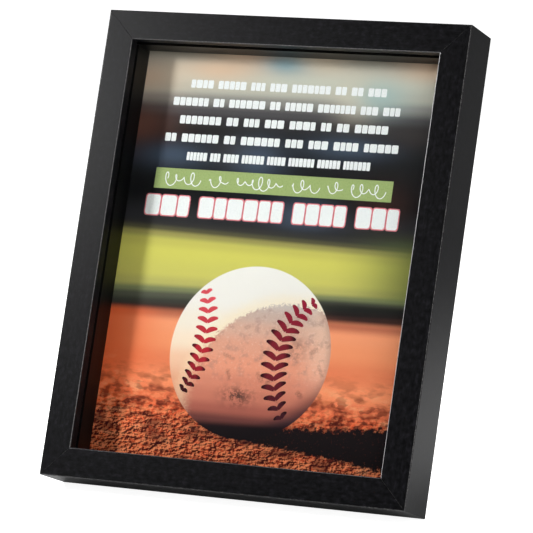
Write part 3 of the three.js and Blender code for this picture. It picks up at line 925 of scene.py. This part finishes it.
def flat_shape(name, outline):
    """A thin closed shape for trees to place. It carries how far along it each point is."""
    body = bmesh.new()
    corners = [body.verts.new((x, y, INK_LOW)) for x, y in outline]
    back = body.faces.new(corners)
    raised = bmesh.ops.extrude_face_region(body, geom=[back])["geom"]
    bmesh.ops.translate(
        body,
        verts=[v for v in raised if isinstance(v, bmesh.types.BMVert)],
        vec=(0, 0, INK_HIGH - INK_LOW),
    )
    bmesh.ops.recalc_face_normals(body, faces=body.faces)
    mesh = bpy.data.meshes.new(name)
    body.to_mesh(mesh)
    body.free()
    along = mesh.attributes.new("along", "FLOAT", "POINT")
    along.data.foreach_set("value", [v.co.x for v in mesh.vertices])
    return bpy.data.objects.new(name, mesh)


def stroke_outline(bow, steps=10):
    """A leaf, one long and one wide: narrow where it leaves the seam, blunt at its tip, and bowed."""
    share = [i / steps for i in range(steps + 1)]
    half = [0.5 * math.sin(math.pi * (0.14 + 0.76 * t**0.9)) ** 0.6 for t in share]
    bent = [bow * 4 * t * (1 - t) for t in share]
    lower = [(t, y - h) for t, y, h in zip(share, bent, half)]
    upper = [(t, y + h) for t, y, h in zip(share, bent, half)]
    tip = (1.07, 0)
    return lower + [tip] + upper[::-1]


def slab_outline(corner=0.16, steps=3):
    """A unit square with round corners."""
    arc = [math.pi / 2 * i / steps for i in range(steps + 1)]
    quarter = [(0.5 - corner + corner * math.cos(a), 0.5 - corner + corner * math.sin(a)) for a in arc]
    turned = [(-y, x) for x, y in quarter]
    half = quarter + turned
    return half + [(-x, -y) for x, y in half]


STROKE_UP = flat_shape("stroke_bowed_up", stroke_outline(0.22))
STROKE_DOWN = flat_shape("stroke_bowed_down", stroke_outline(-0.22))
SLAB = flat_shape("ink_slab", slab_outline())
print("stroke", len(STROKE_UP.data.vertices), "points; slab", len(SLAB.data.vertices), "points")

# %% A tree that prints a shape on points
def printed_on_points_tree():
    """Each point says how it is turned and sized; the shape keeps its thickness."""
    tree, size, close = sizes_in("printed_on_points", objects=["Shape"])

    def carried(name, kind="FLOAT"):
        return node(tree, "GeometryNodeInputNamedAttribute", {"Name": name}, data_type=kind)

    shape = node(tree, "GeometryNodeObjectInfo", {"Object": size["Shape"]}, output="Geometry")
    instances = {
        "Points": size["Geometry"],
        "Instance": shape,
        "Rotation": gather(0, 0, carried("turn"), tree),
        "Scale": gather(carried("long"), carried("wide"), 1, tree),
    }
    close(node(tree, "GeometryNodeInstanceOnPoints", instances))
    return tree


PRINTED_ON_POINTS = printed_on_points_tree()


def points_mesh(name, rows):
    """Points on the print: each row is (across, down, turn, long, wide, place), in mm and radians."""
    mesh = bpy.data.meshes.new(name)
    mesh.from_pydata([(across * MM, -down * MM, 0) for across, down, *_ in rows], [], [])
    columns = {"turn": 2, "long": 3, "wide": 4, "place": 5}
    for attribute, column in columns.items():
        scale = MM if attribute in ("long", "wide") else 1
        values = mesh.attributes.new(attribute, "FLOAT", "POINT")
        values.data.foreach_set("value", [row[column] * scale for row in rows])
    return mesh


def print_shapes(name, shape, rows, material, lift=0.0):
    piece = grown(name, PRINTED_ON_POINTS, material, start=points_mesh(name + "_points", rows), Shape=shape)
    placed(piece, PRINT_FACE @ Matrix.Translation((0, 0, lift)))
    return on_body(piece, "frame", "printed_paper")


# %% Inks
def ink(light, dark):
    """One ink over paper tooth: it lies a little unevenly, so the paper dulls it here and there."""

    def build(tree):
        place = on_print(tree)
        cover = shade_card(noise(place, 0.9, 3), [(0.25, dark), (0.6, light)])
        return {"Base Color": cover, **paper_tooth(tree, place)}

    return build


def thread_ink(top, middle, bottom, tip_from):
    """Red thread, darker down the seam, and nearly black where its blunt tips dive into the leather."""

    def build(tree):
        place = on_print(tree)
        seam = carried_number(tree, "place")
        along = carried_number(tree, "along")
        fibres = noise(place, 0.8, 3, 0.7)
        tip = step_up(along, 0.5, 0.95) * step_up(seam, tip_from, tip_from + 0.15)
        red = shade_card(seam + (fibres - 0.5) * 0.4, [(0.0, top), (0.5, middle), (1.0, bottom)])
        return {"Base Color": blend(tip * 0.85, red, paint(26, 14, 20)), "Roughness": fibres * 0.1 + 0.7}

    return build


def dried(name, build):
    return finish(name, build, Specular_IOR_Level=0.08)


BRIGHT_THREAD = thread_ink(paint(232, 84, 96), paint(190, 42, 56), paint(52, 16, 24), 0.4)
DARK_THREAD = thread_ink(paint(150, 30, 54), paint(126, 34, 46), paint(60, 24, 34), 0.25)
THREAD_IN_LIGHT = dried("thread_in_light", BRIGHT_THREAD)
THREAD_IN_SHADE = dried("thread_in_shade", DARK_THREAD)
WHITE_INK = dried("white_ink", ink(paint(252, 250, 252), paint(240, 238, 242)))
PINK_INK = dried("pink_ink", ink(paint(240, 140, 150), paint(214, 92, 106)))
GREEN_INK = dried("green_ink", ink(paint(168, 183, 120), paint(154, 172, 108)))

# %% [markdown]
# Two seams run over the ball, each bulging towards its middle, and the thread crosses them in V
# shapes. One cubic curve per seam sets where each V sits and how it is turned: both its arms lean
# back from the seam's own direction. Towards the ball's edge, the leather turns away and they shorten.

# %% Stitches
def bezier(corners, t):
    (ax, ay), (bx, by), (cx, cy), (dx, dy) = corners
    s = 1 - t
    weights = (s**3, 3 * s * s * t, 3 * s * t * t, t**3)
    return (
        sum(w * x for w, x in zip(weights, (ax, bx, cx, dx))),
        sum(w * y for w, y in zip(weights, (ay, by, cy, dy))),
    )


def seam_strokes(corners, count, lean, long, wide):
    """Strokes on one side of a seam. They lean back from it, and shorten towards the ball's edge."""
    rows = []
    for i in range(count):
        t = (i + 0.5) / count
        x, y = bezier(corners, t)
        ahead_x, ahead_y = bezier(corners, t + 0.01)
        seam_turn = math.atan2(y - ahead_y, ahead_x - x)
        seen = max(0.35, math.sqrt(1 - min(1, x * x + y * y)))
        at = BALL + Vector((x, y)) * BALL_RADIUS
        turn = seam_turn + math.radians(lean)
        rows.append((at.x, at.y, turn, long * seen, wide * (0.5 + 0.5 * seen), t))
    return rows


# Seams in ball radii from the ball's middle, x to the right and y down.
RIGHT_SEAM = [(0.74, -0.64), (0.26, -0.40), (0.22, 0.34), (0.54, 0.76)]
LEFT_SEAM = [(-0.66, -0.70), (-0.50, -0.30), (-0.60, 0.30), (-0.80, 0.52)]
ARMS = {
    "right_seam_left_arms": (RIGHT_SEAM, 14, STROKE_DOWN, -112, 9.5, 3.6, THREAD_IN_SHADE),
    "right_seam_right_arms": (RIGHT_SEAM, 14, STROKE_UP, 112, 9.5, 3.6, THREAD_IN_SHADE),
    "left_seam_right_arms": (LEFT_SEAM, 12, STROKE_UP, 112, 9, 3.4, THREAD_IN_LIGHT),
    "left_seam_left_arms": (LEFT_SEAM, 12, STROKE_DOWN, -112, 9, 3.4, THREAD_IN_LIGHT),
}
for name, (seam, count, shape, lean, long, wide, thread) in ARMS.items():
    print_shapes(name, shape, seam_strokes(seam, count, lean, long, wide), thread)

# %% [markdown]
# The blocks are dealt out as words would fall: short runs with a gap between them, each block a
# little wider or narrower than the last. The seed is fixed, so that every run deals the same rows.

# %% Rows of blocks
def block_row(dealer, left, right, down, tall, pitch, word_gap, runs):
    """Blocks in runs from left to right, squeezed a little so that the row ends where it should."""
    places, x = [], 0.0
    between = pitch * 0.11
    for run in runs:
        x += word_gap if places else 0
        for _ in range(run):
            wide = pitch * dealer.uniform(0.66, 1.02)
            places.append((x + wide / 2, wide))
            x += wide + between
    squeeze = (right - left) / (x - between)
    return [(left + at * squeeze, down, 0, wide * squeeze, tall, 0) for at, wide in places]


dealer = random.Random(8)
ROWS = [(22, 34, 160), (33, 24, 170), (44, 30, 164), (55, 22, 172), (66, 38, 156)]
blocks = []
for down, left, right in ROWS:
    runs = [dealer.randint(2, 7) for _ in range(dealer.randint(8, 9))]
    blocks += block_row(dealer, left, right, down, 5.0, 4.4, 3.2, runs)
print_shapes("small_block_rows", SLAB, blocks, WHITE_INK)
heading = block_row(dealer, 16, 178, 96.3, 12, 10.6, 6.4, (3, 6, 4, 3))
edging = [(x, y, turn, wide + 1.3, tall + 1.3, place) for x, y, turn, wide, tall, place in heading]
print_shapes("heading_edging", SLAB, edging, PINK_INK)
print_shapes("heading_blocks", SLAB, heading, WHITE_INK, lift=0.04 * MM)

# %% Green band with a pen flourish
def pen_flourish_tree():
    """Loops that swell and fade along their length, drawn with a round nib and pressed flat."""
    tree, size, close = sizes_in("pen_flourish", "Length", "Height", "Loops", "Nib")
    curve = node(tree, "GeometryNodeCurvePrimitiveLine", {"End": gather(size["Length"], 0, 0, tree)})
    fine = node(tree, "GeometryNodeResampleCurve", {"Curve": curve, "Count": 160})
    t = node(tree, "GeometryNodeSplineParameter")
    phase = t * size["Loops"] * math.tau
    swell = maths("SINE", t * 9 + size["Length"] * 300) * 0.4 + 0.6
    high = maths("SINE", phase) * swell * size["Height"] * 0.5
    back = maths("COSINE", phase) * swell * size["Height"] * 0.28
    drawn = node(tree, "GeometryNodeSetPosition", {"Geometry": fine, "Offset": gather(back, high, 0)})
    nib = node(tree, "GeometryNodeCurvePrimitiveCircle", {"Resolution": 8, "Radius": size["Nib"]})
    inked = {"Curve": drawn, "Profile Curve": nib, "Fill Caps": True}
    line = node(tree, "GeometryNodeCurveToMesh", inked)
    x, y, z = split(node(tree, "GeometryNodeInputPosition"))
    close(node(tree, "GeometryNodeSetPosition", {"Geometry": line, "Position": gather(x, y, z * 0.2)}))
    return tree


BAND = [(95.7, 80.0, 0, 152.6, 12.4, 0)]
BAND_SHAPE = flat_shape("band_shape", slab_outline(corner=0.004, steps=1))
print_shapes("green_band", BAND_SHAPE, BAND, GREEN_INK)
PEN_FLOURISH = pen_flourish_tree()
PEN = dict(Height=8.5 * MM, Nib=0.3 * MM)
STROKES = [(26, 22, 4), (54, 12, 2), (72, 30, 6), (108, 16, 3), (130, 10, 2), (146, 20, 4)]
for number, (left, long, loops) in enumerate(STROKES):
    name = f"pen_stroke_{number + 1}"
    stroke = grown(name, PEN_FLOURISH, WHITE_INK, Length=long * MM, Loops=loops, **PEN)
    faced_out(stroke.data)
    placed(smooth(stroke), PRINT_FACE @ Matrix.Translation((left * MM, -80.2 * MM, INK_HIGH)))
    on_body(stroke, "frame", "printed_paper")

# %% [markdown]
# ## Board and panel behind the picture
#
# Behind the print lies a grey recycled board. The back panel is thin hardboard covered with black
# embossed paper, which is matt and takes pale scuffs. Where the easel leg is sawn out of the same
# board, its edges show the brown fibre between the papers.

# %% Board finishes
def grey_board(tree):
    place = place_in(tree, UPRIGHT)
    fibres = noise(stretched(place, 1, 1, 0.3), 0.7, 4, 0.7)
    flecks = step_up(noise(place, 1.3, 1), 0.72, 0.76, 0.6)
    pulp = shade_card(fibres, tones((0.3, 128, 124, 117), (0.7, 164, 160, 151)))
    return {"Base Color": blend(flecks, pulp, paint(96, 88, 80)), "Roughness": fibres * 0.1 + 0.85}


def black_paper(tree):
    """Embossed black paper on hardboard; an attribute tells which faces are the sawn brown edge."""
    place = place_in(tree, UPRIGHT)
    emboss = noise(place, 0.9, 3, 0.6)
    clouds = noise(place, 22, 3)
    scuff_lines = noise(stretched(place, 0.5, 1, 0.05), 1.2, 3)
    scuffs = step_up(scuff_lines, 0.66, 0.74, 0.25) * step_up(clouds, 0.45, 0.6)
    dust = step_up(noise(place, 0.7, 1), 0.80, 0.84, 0.4)
    tone = shade_card(emboss * 0.4 + clouds * 0.6, tones((0.35, 21, 20, 20), (0.65, 33, 32, 31)))
    tone = blend(maths("MAXIMUM", scuffs, dust), tone, paint(112, 108, 104))
    fibre = shade_card(noise(place, 0.5, 4, 0.7), tones((0.3, 62, 42, 28), (0.7, 98, 70, 48)))
    sawn = carried_number(tree, "sawn")
    return {
        "Base Color": blend(sawn, tone, fibre),
        "Roughness": emboss * 0.15 + 0.68,
        "Normal": relief(tree, emboss, 0.06 * MM),
    }


BLACK_PAPER = finish("black_paper", black_paper, Specular_IOR_Level=0.3)
refinished("mounting_board", finish("grey_board", grey_board, Specular_IOR_Level=0.2))
refinished("back_panel", BLACK_PAPER)

# %% [markdown]
# ## Metals and rubber
#
# The small hardware is sheet steel and wire with a thin bright zinc coat. Zinc isn't a mirror: it has
# cloudy patches that differ a little in tone and gloss, fine scratches from the tumbling barrel, and a
# duller grey bloom where it has aged. The screws are the same steel with a darker coat, the rivets
# are brass plated, and the V nails in the mitres are bare steel with a first hint of rust.

# %% Metal and rubber finishes
def barrel_metal(bright, dull, size, roughness, stain=None):
    """Plated metal out of a tumbling barrel: cloudy, finely scratched, and stained here and there."""

    def build(tree):
        place = place_in(tree, UPRIGHT)
        clouds = noise(place, size, 4, 0.6)
        fine = noise(place, 0.35, 3, 0.7)
        scratched_one_way = noise(stretched(place, 0.12, 1, 1), 0.3, 2)
        scratched_other_way = noise(stretched(place, 1, 1, 0.1), 0.35, 2)
        scratches = maths("MAXIMUM", scratched_one_way, scratched_other_way)
        colour = shade_card(clouds * 0.7 + fine * 0.3, [(0.32, dull), (0.62, bright)])
        if stain:
            colour = blend(step_up(noise(place, 1.6, 4, 0.7), 0.58, 0.68, 0.7), colour, stain)
        return {
            "Base Color": colour,
            "Roughness": clouds * 0.14 + step_up(scratches, 0.6, 0.75) * 0.12 + roughness,
            "Normal": relief(tree, scratches * 0.8 + fine * 0.2, 0.0012 * MM),
        }

    return build


def black_rubber(tree):
    place = place_in(tree, UPRIGHT)
    bloom = noise(place, 2.2, 4, 0.6)
    lint = step_up(noise(place, 0.6, 1), 0.78, 0.83, 0.35)
    tone = shade_card(bloom, tones((0.35, 22, 22, 23), (0.7, 40, 40, 41)))
    return {"Base Color": blend(lint, tone, paint(128, 126, 122)), "Roughness": bloom * 0.15 + 0.6}


BRIGHT_COAT = barrel_metal(paint(206, 208, 210), paint(168, 172, 178), 5, 0.25)
DARK_COAT = barrel_metal(paint(186, 186, 184), paint(140, 142, 146), 2, 0.27)
BRASS_COAT = barrel_metal(paint(214, 172, 98), paint(170, 128, 66), 1.5, 0.23)
NO_COAT = barrel_metal(paint(150, 148, 146), paint(104, 102, 102), 2, 0.39, stain=paint(96, 58, 38))
ZINC = finish("zinc_plate", BRIGHT_COAT, Metallic=1.0)
DARK_ZINC = finish("screw_zinc", DARK_COAT, Metallic=1.0)
BRASS = finish("brass_plate", BRASS_COAT, Metallic=1.0)
BARE_STEEL = finish("bare_steel", NO_COAT, Metallic=0.9)
RUBBER = finish("bumper_rubber", black_rubber, Specular_IOR_Level=0.35)

# %% [markdown]
# Sheet parts come out of a press with a small round on every edge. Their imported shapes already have
# the right outlines, holes and barrels, so copies of them are softened. The V nails are driven in from
# behind until their edges stand only a whisker proud of the rails.

# %% Pressed and sawn parts
def mark_sawn_edges(piece, through_board):
    """1 on the faces that the saw made, and 0 on the two papered faces."""
    sawn = piece.data.attributes.new("sawn", "FLOAT", "FACE")
    across = [abs(face.normal.dot(through_board)) < 0.9 for face in piece.data.polygons]
    sawn.data.foreach_set("value", [float(edge) for edge in across])


PRESSED = {
    "hinge_leaf_on_panel": ("hinge_fixed_leaf", ZINC, "zinc_steel", "frame"),
    "hinge_leaf_on_leg": ("hinge_moving_leaf", ZINC, "zinc_steel", "leg"),
    "hinge_pin_rounded": ("hinge_pin", ZINC, "zinc_steel", "frame"),
    "hanger_strap_pressed": ("hanger_strap", ZINC, "zinc_steel", "frame"),
    "bumper_left_moulded": ("bumper_left", RUBBER, "bumper_rubber", "frame"),
    "bumper_right_moulded": ("bumper_right", RUBBER, "bumper_rubber", "frame"),
}
for name, (cad_node, material, slot, body) in PRESSED.items():
    on_body(softened(name, cad_node, material), body, slot, cad_node)

for corner in ("top_left", "top_right", "bottom_left", "bottom_right"):
    nail = softened("driven_nail_" + corner, "v_nail_" + corner, BARE_STEEL)
    back_of_nail = span("v_nail_" + corner, UPRIGHT)[1].y
    proud = DEPTH + 0.05 * MM - back_of_nail
    placed(nail, Matrix.Translation(LEANING.to_3x3() @ Vector((0, proud, 0))))
    on_body(nail, "frame", "nail_steel", "v_nail_" + corner)

leg_slant = Matrix.Rotation(-math.radians(abs(joint("easel_hinge")["range_deg"][0])), 3, "X")
leg = softened("sawn_leg", "easel_leg", BLACK_PAPER)
mark_sawn_edges(leg, LEANING.to_3x3() @ leg_slant.inverted() @ Vector((0, 1, 0)))
on_body(leg, "leg", "black_hardboard", "easel_leg")

# %% [markdown]
# ## Turn buttons, screws, rivets and the ring
#
# These are stock parts, all alike, so trees make them. A turn button is the outline round two discs,
# one at the screw and a smaller one at the tip. A screw or rivet is a domed head on a shank. The
# fitter drove the screws by hand, so their crosses point every way: a fixed seed sets how.

# %% Trees for small parts
def solid_maths(tree, operation, first, *others):
    """Join, cut or overlap closed shapes."""
    boolean = new_node(tree, "GeometryNodeMeshBoolean", operation=operation, solver="EXACT")
    if operation == "DIFFERENCE":
        feed(boolean.inputs[0], first)
    else:
        feed(boolean.inputs[1], first)
    for other in others:
        feed(boolean.inputs[1], other)
    return Wire(boolean.outputs[0])


def moved(tree, shape, x=0.0, y=0.0, z=0.0):
    return node(tree, "GeometryNodeTransform", {"Geometry": shape, "Translation": gather(x, y, z, tree)})


def bar(tree, radius, low, high, sides=32):
    """A round bar that stands along z between two heights."""
    inputs = {"Vertices": sides, "Radius": radius, "Depth": high - low}
    return moved(tree, node(tree, "GeometryNodeMeshCylinder", inputs), z=(high + low) * 0.5)


def turn_button_tree():
    names = ("Root Radius", "Tip Radius", "Reach", "Thickness", "Hole Radius")
    tree, size, close = sizes_in("turn_button", *names)
    thick = size["Thickness"]
    root = bar(tree, size["Root Radius"], thick * 0, thick, 48)
    tip = moved(tree, bar(tree, size["Tip Radius"], thick * 0, thick, 40), y=size["Reach"])
    both = new_node(tree, "GeometryNodeJoinGeometry")
    feed(both.inputs[0], root)
    feed(both.inputs[0], tip)
    blank = node(tree, "GeometryNodeConvexHull", {"Geometry": Wire(both.outputs[0])})
    close(solid_maths(tree, "DIFFERENCE", blank, bar(tree, size["Hole Radius"], thick * -1, thick * 2, 32)))
    return tree


def domed(tree, size, rim):
    """A round head with a straight rim and a dome: a disc overlapped with a ball of the right radius."""
    head, high = size["Head Radius"], size["Head Height"]
    rise = high * (1 - rim)
    ball = (head * head + rise * rise) / (rise * 2)
    sphere = node(tree, "GeometryNodeMeshUVSphere", {"Segments": 48, "Rings": 48, "Radius": ball})
    disc = bar(tree, head, high * 0, high * 2, 40)
    return solid_maths(tree, "INTERSECT", disc, moved(tree, sphere, z=high - ball))


def on_points(tree, size, shape):
    turn = node(tree, "GeometryNodeInputNamedAttribute", {"Name": "turn"}, data_type="FLOAT")
    instances = {"Points": size["Geometry"], "Instance": shape, "Rotation": gather(0, 0, turn, tree)}
    return node(tree, "GeometryNodeInstanceOnPoints", instances)


HEAD_AND_SHANK = ("Head Radius", "Head Height", "Shank Radius", "Length")


def screw_tree():
    cross = ("Cross Long", "Cross Wide", "Cross Deep")
    tree, size, close = sizes_in("pan_head_screw", *HEAD_AND_SHANK, *cross)
    high, deep = size["Head Height"], size["Cross Deep"]
    shank = bar(tree, size["Shank Radius"], (size["Length"] - high) * -1, high * 0.5, 24)
    screw = solid_maths(tree, "UNION", domed(tree, size, 0.35), shank)
    for long, wide in (("Cross Long", "Cross Wide"), ("Cross Wide", "Cross Long")):
        slot = node(tree, "GeometryNodeMeshCube", {"Size": gather(size[long], size[wide], deep * 2, tree)})
        screw = solid_maths(tree, "DIFFERENCE", screw, moved(tree, slot, z=high))
    close(on_points(tree, size, screw))
    return tree


def rivet_tree():
    tree, size, close = sizes_in("domed_rivet", *HEAD_AND_SHANK)
    shank = bar(tree, size["Shank Radius"], size["Length"] * -1, size["Head Height"] * 0.3, 24)
    close(on_points(tree, size, solid_maths(tree, "UNION", domed(tree, size, 0.1), shank)))
    return tree


def wire_triangle_tree():
    tree, size, close = sizes_in("wire_triangle", "Half Width", "Drop", "Wire Radius", "Bend Radius")
    half, drop = size["Half Width"], size["Drop"]
    corners = [gather(half * -1, 0, 0), gather(half, 0, 0), gather(half * 0, 0, drop * -1)]
    curve = curve_through(tree, corners, closed=True)
    bends = {"Curve": curve, "Count": 12, "Radius": size["Bend Radius"], "Limit Radius": True}
    bent = node(tree, "GeometryNodeFilletCurve", bends, mode="POLY")
    wire = node(tree, "GeometryNodeCurvePrimitiveCircle", {"Resolution": 16, "Radius": size["Wire Radius"]})
    close(node(tree, "GeometryNodeCurveToMesh", {"Curve": bent, "Profile Curve": wire}))
    return tree


# %% Turn buttons
FLAT_TO_BACK = Matrix.Rotation(math.radians(-90), 4, "X")
TURN_BUTTON = turn_button_tree()
SHEET = span("turn_button_1", UPRIGHT)[1].y - PLATE
for number in range(1, 9):
    _, matrix = RAILS[list(RAILS)[(number - 1) // 2]]
    hinge = UPRIGHT @ Vector(joint(f"turn_button_{number}_pivot")["pos_m"])
    seat = LEANING @ Vector((hinge.x, PLATE, hinge.z))
    inward = matrix.to_3x3().to_4x4() @ FLAT_TO_BACK @ Matrix.Rotation(math.pi, 4, "Z")
    button = grown(
        f"button_{number}",
        TURN_BUTTON,
        ZINC,
        Root_Radius=4 * MM,
        Tip_Radius=2.6 * MM,
        Reach=15.5 * MM,
        Thickness=SHEET,
        Hole_Radius=1.5 * MM,
    )
    faced_out(button.data)
    rounded(button, 0.15 * MM, segments=2)
    placed(button, Matrix.Translation(seat) @ inward)
    on_body(button, f"turn_button_{number}", "zinc_steel", f"turn_button_{number}")

# %% Screws and rivets
def seats(name, spots, twist):
    """Points on a plate, as (x, height) in metres: each gets a turn of its own."""
    mesh = bpy.data.meshes.new(name)
    mesh.from_pydata([(x, -height, 0) for x, height in spots], [], [])
    turn = mesh.attributes.new("turn", "FLOAT", "POINT")
    turn.data.foreach_set("value", [twist.uniform(0, math.tau) for _ in spots])
    return mesh


def facing_back(y):
    """Local z points out of the frame's back from depth y; local -y counts heights."""
    return LEANING @ Matrix.Translation((0, y, 0)) @ FLAT_TO_BACK


def middle_of(cad_node, turn=UPRIGHT):
    low, high = span(cad_node, turn)
    return (low.x + high.x) / 2, (low.z + high.z) / 2


def fixed_with(name, tree, material, cad_nodes, seat, body, slot, width, **sizes):
    """One piece that stands for several packed screws or rivets in the frame's back."""
    spots = [middle_of(cad_node) for cad_node in cad_nodes]
    piece = grown(name, tree, material, start=seats(name + "_seats", spots, random.Random(5)), **sizes)
    faced_out(piece.data)
    rounded(piece, width, segments=2)
    placed(piece, facing_back(seat))
    return on_body(piece, body, slot, *cad_nodes)


HEADS = PLATE + SHEET + LOOSE
SCREWS = [f"turn_screw_{number}" for number in range(1, 9)]
CROSS = {"Cross_Long": 3 * MM, "Cross_Wide": 0.8 * MM, "Cross_Deep": 0.9 * MM}
SCREW = dict(Head_Radius=2.6 * MM, Head_Height=1.5 * MM, Shank_Radius=1.2 * MM, Length=14.5 * MM, **CROSS)
fixed_with("turn_screws", screw_tree(), DARK_ZINC, SCREWS, HEADS, "frame", "screw_steel", 0.08 * MM, **SCREW)
RIVET = dict(Head_Radius=1.8 * MM, Head_Height=0.7 * MM, Shank_Radius=1.0 * MM, Length=3.9 * MM)
PANEL_RIVETS = ("hinge_rivet_left", "hinge_rivet_right", "hanger_rivet")
RIVETED = rivet_tree()
fixed_with("panel_rivets", RIVETED, BRASS, PANEL_RIVETS, HEADS, "frame", "rivet_brass", 0.06 * MM, **RIVET)

# %% Leg rivets and hanger ring
pin = Vector(joint("easel_hinge")["pos_m"])
ALONG_LEG = Matrix.Translation(pin) @ (LEANING.to_3x3() @ leg_slant.inverted()).to_4x4()
LEG_RIVETS = ("leg_rivet_upper", "leg_rivet_lower")
leg_spots = [middle_of(cad_node, ALONG_LEG.inverted()) for cad_node in LEG_RIVETS]
leg_seats = seats("leg_seats", leg_spots, random.Random(6))
leg_rivets = grown("leg_rivets", RIVETED, BRASS, start=leg_seats, **RIVET)
faced_out(leg_rivets.data)
rounded(leg_rivets, 0.06 * MM, segments=2)
seat_on_leaf = span("leg_rivet_upper", ALONG_LEG.inverted())[1].y - RIVET["Head_Height"]
placed(leg_rivets, ALONG_LEG @ Matrix.Translation((0, seat_on_leaf, 0)) @ FLAT_TO_BACK)
on_body(leg_rivets, "leg", "rivet_brass", *LEG_RIVETS)

WIRE = dict(Half_Width=6.5 * MM, Drop=16 * MM, Wire_Radius=0.8 * MM, Bend_Radius=1.2 * MM)
ring = grown("wire_ring", wire_triangle_tree(), ZINC, **WIRE)
faced_out(ring.data)
placed(smooth(ring), Matrix.Translation(joint("hanger_pivot")["pos_m"]))
on_body(ring, "ring", "zinc_steel", "hanger_ring")
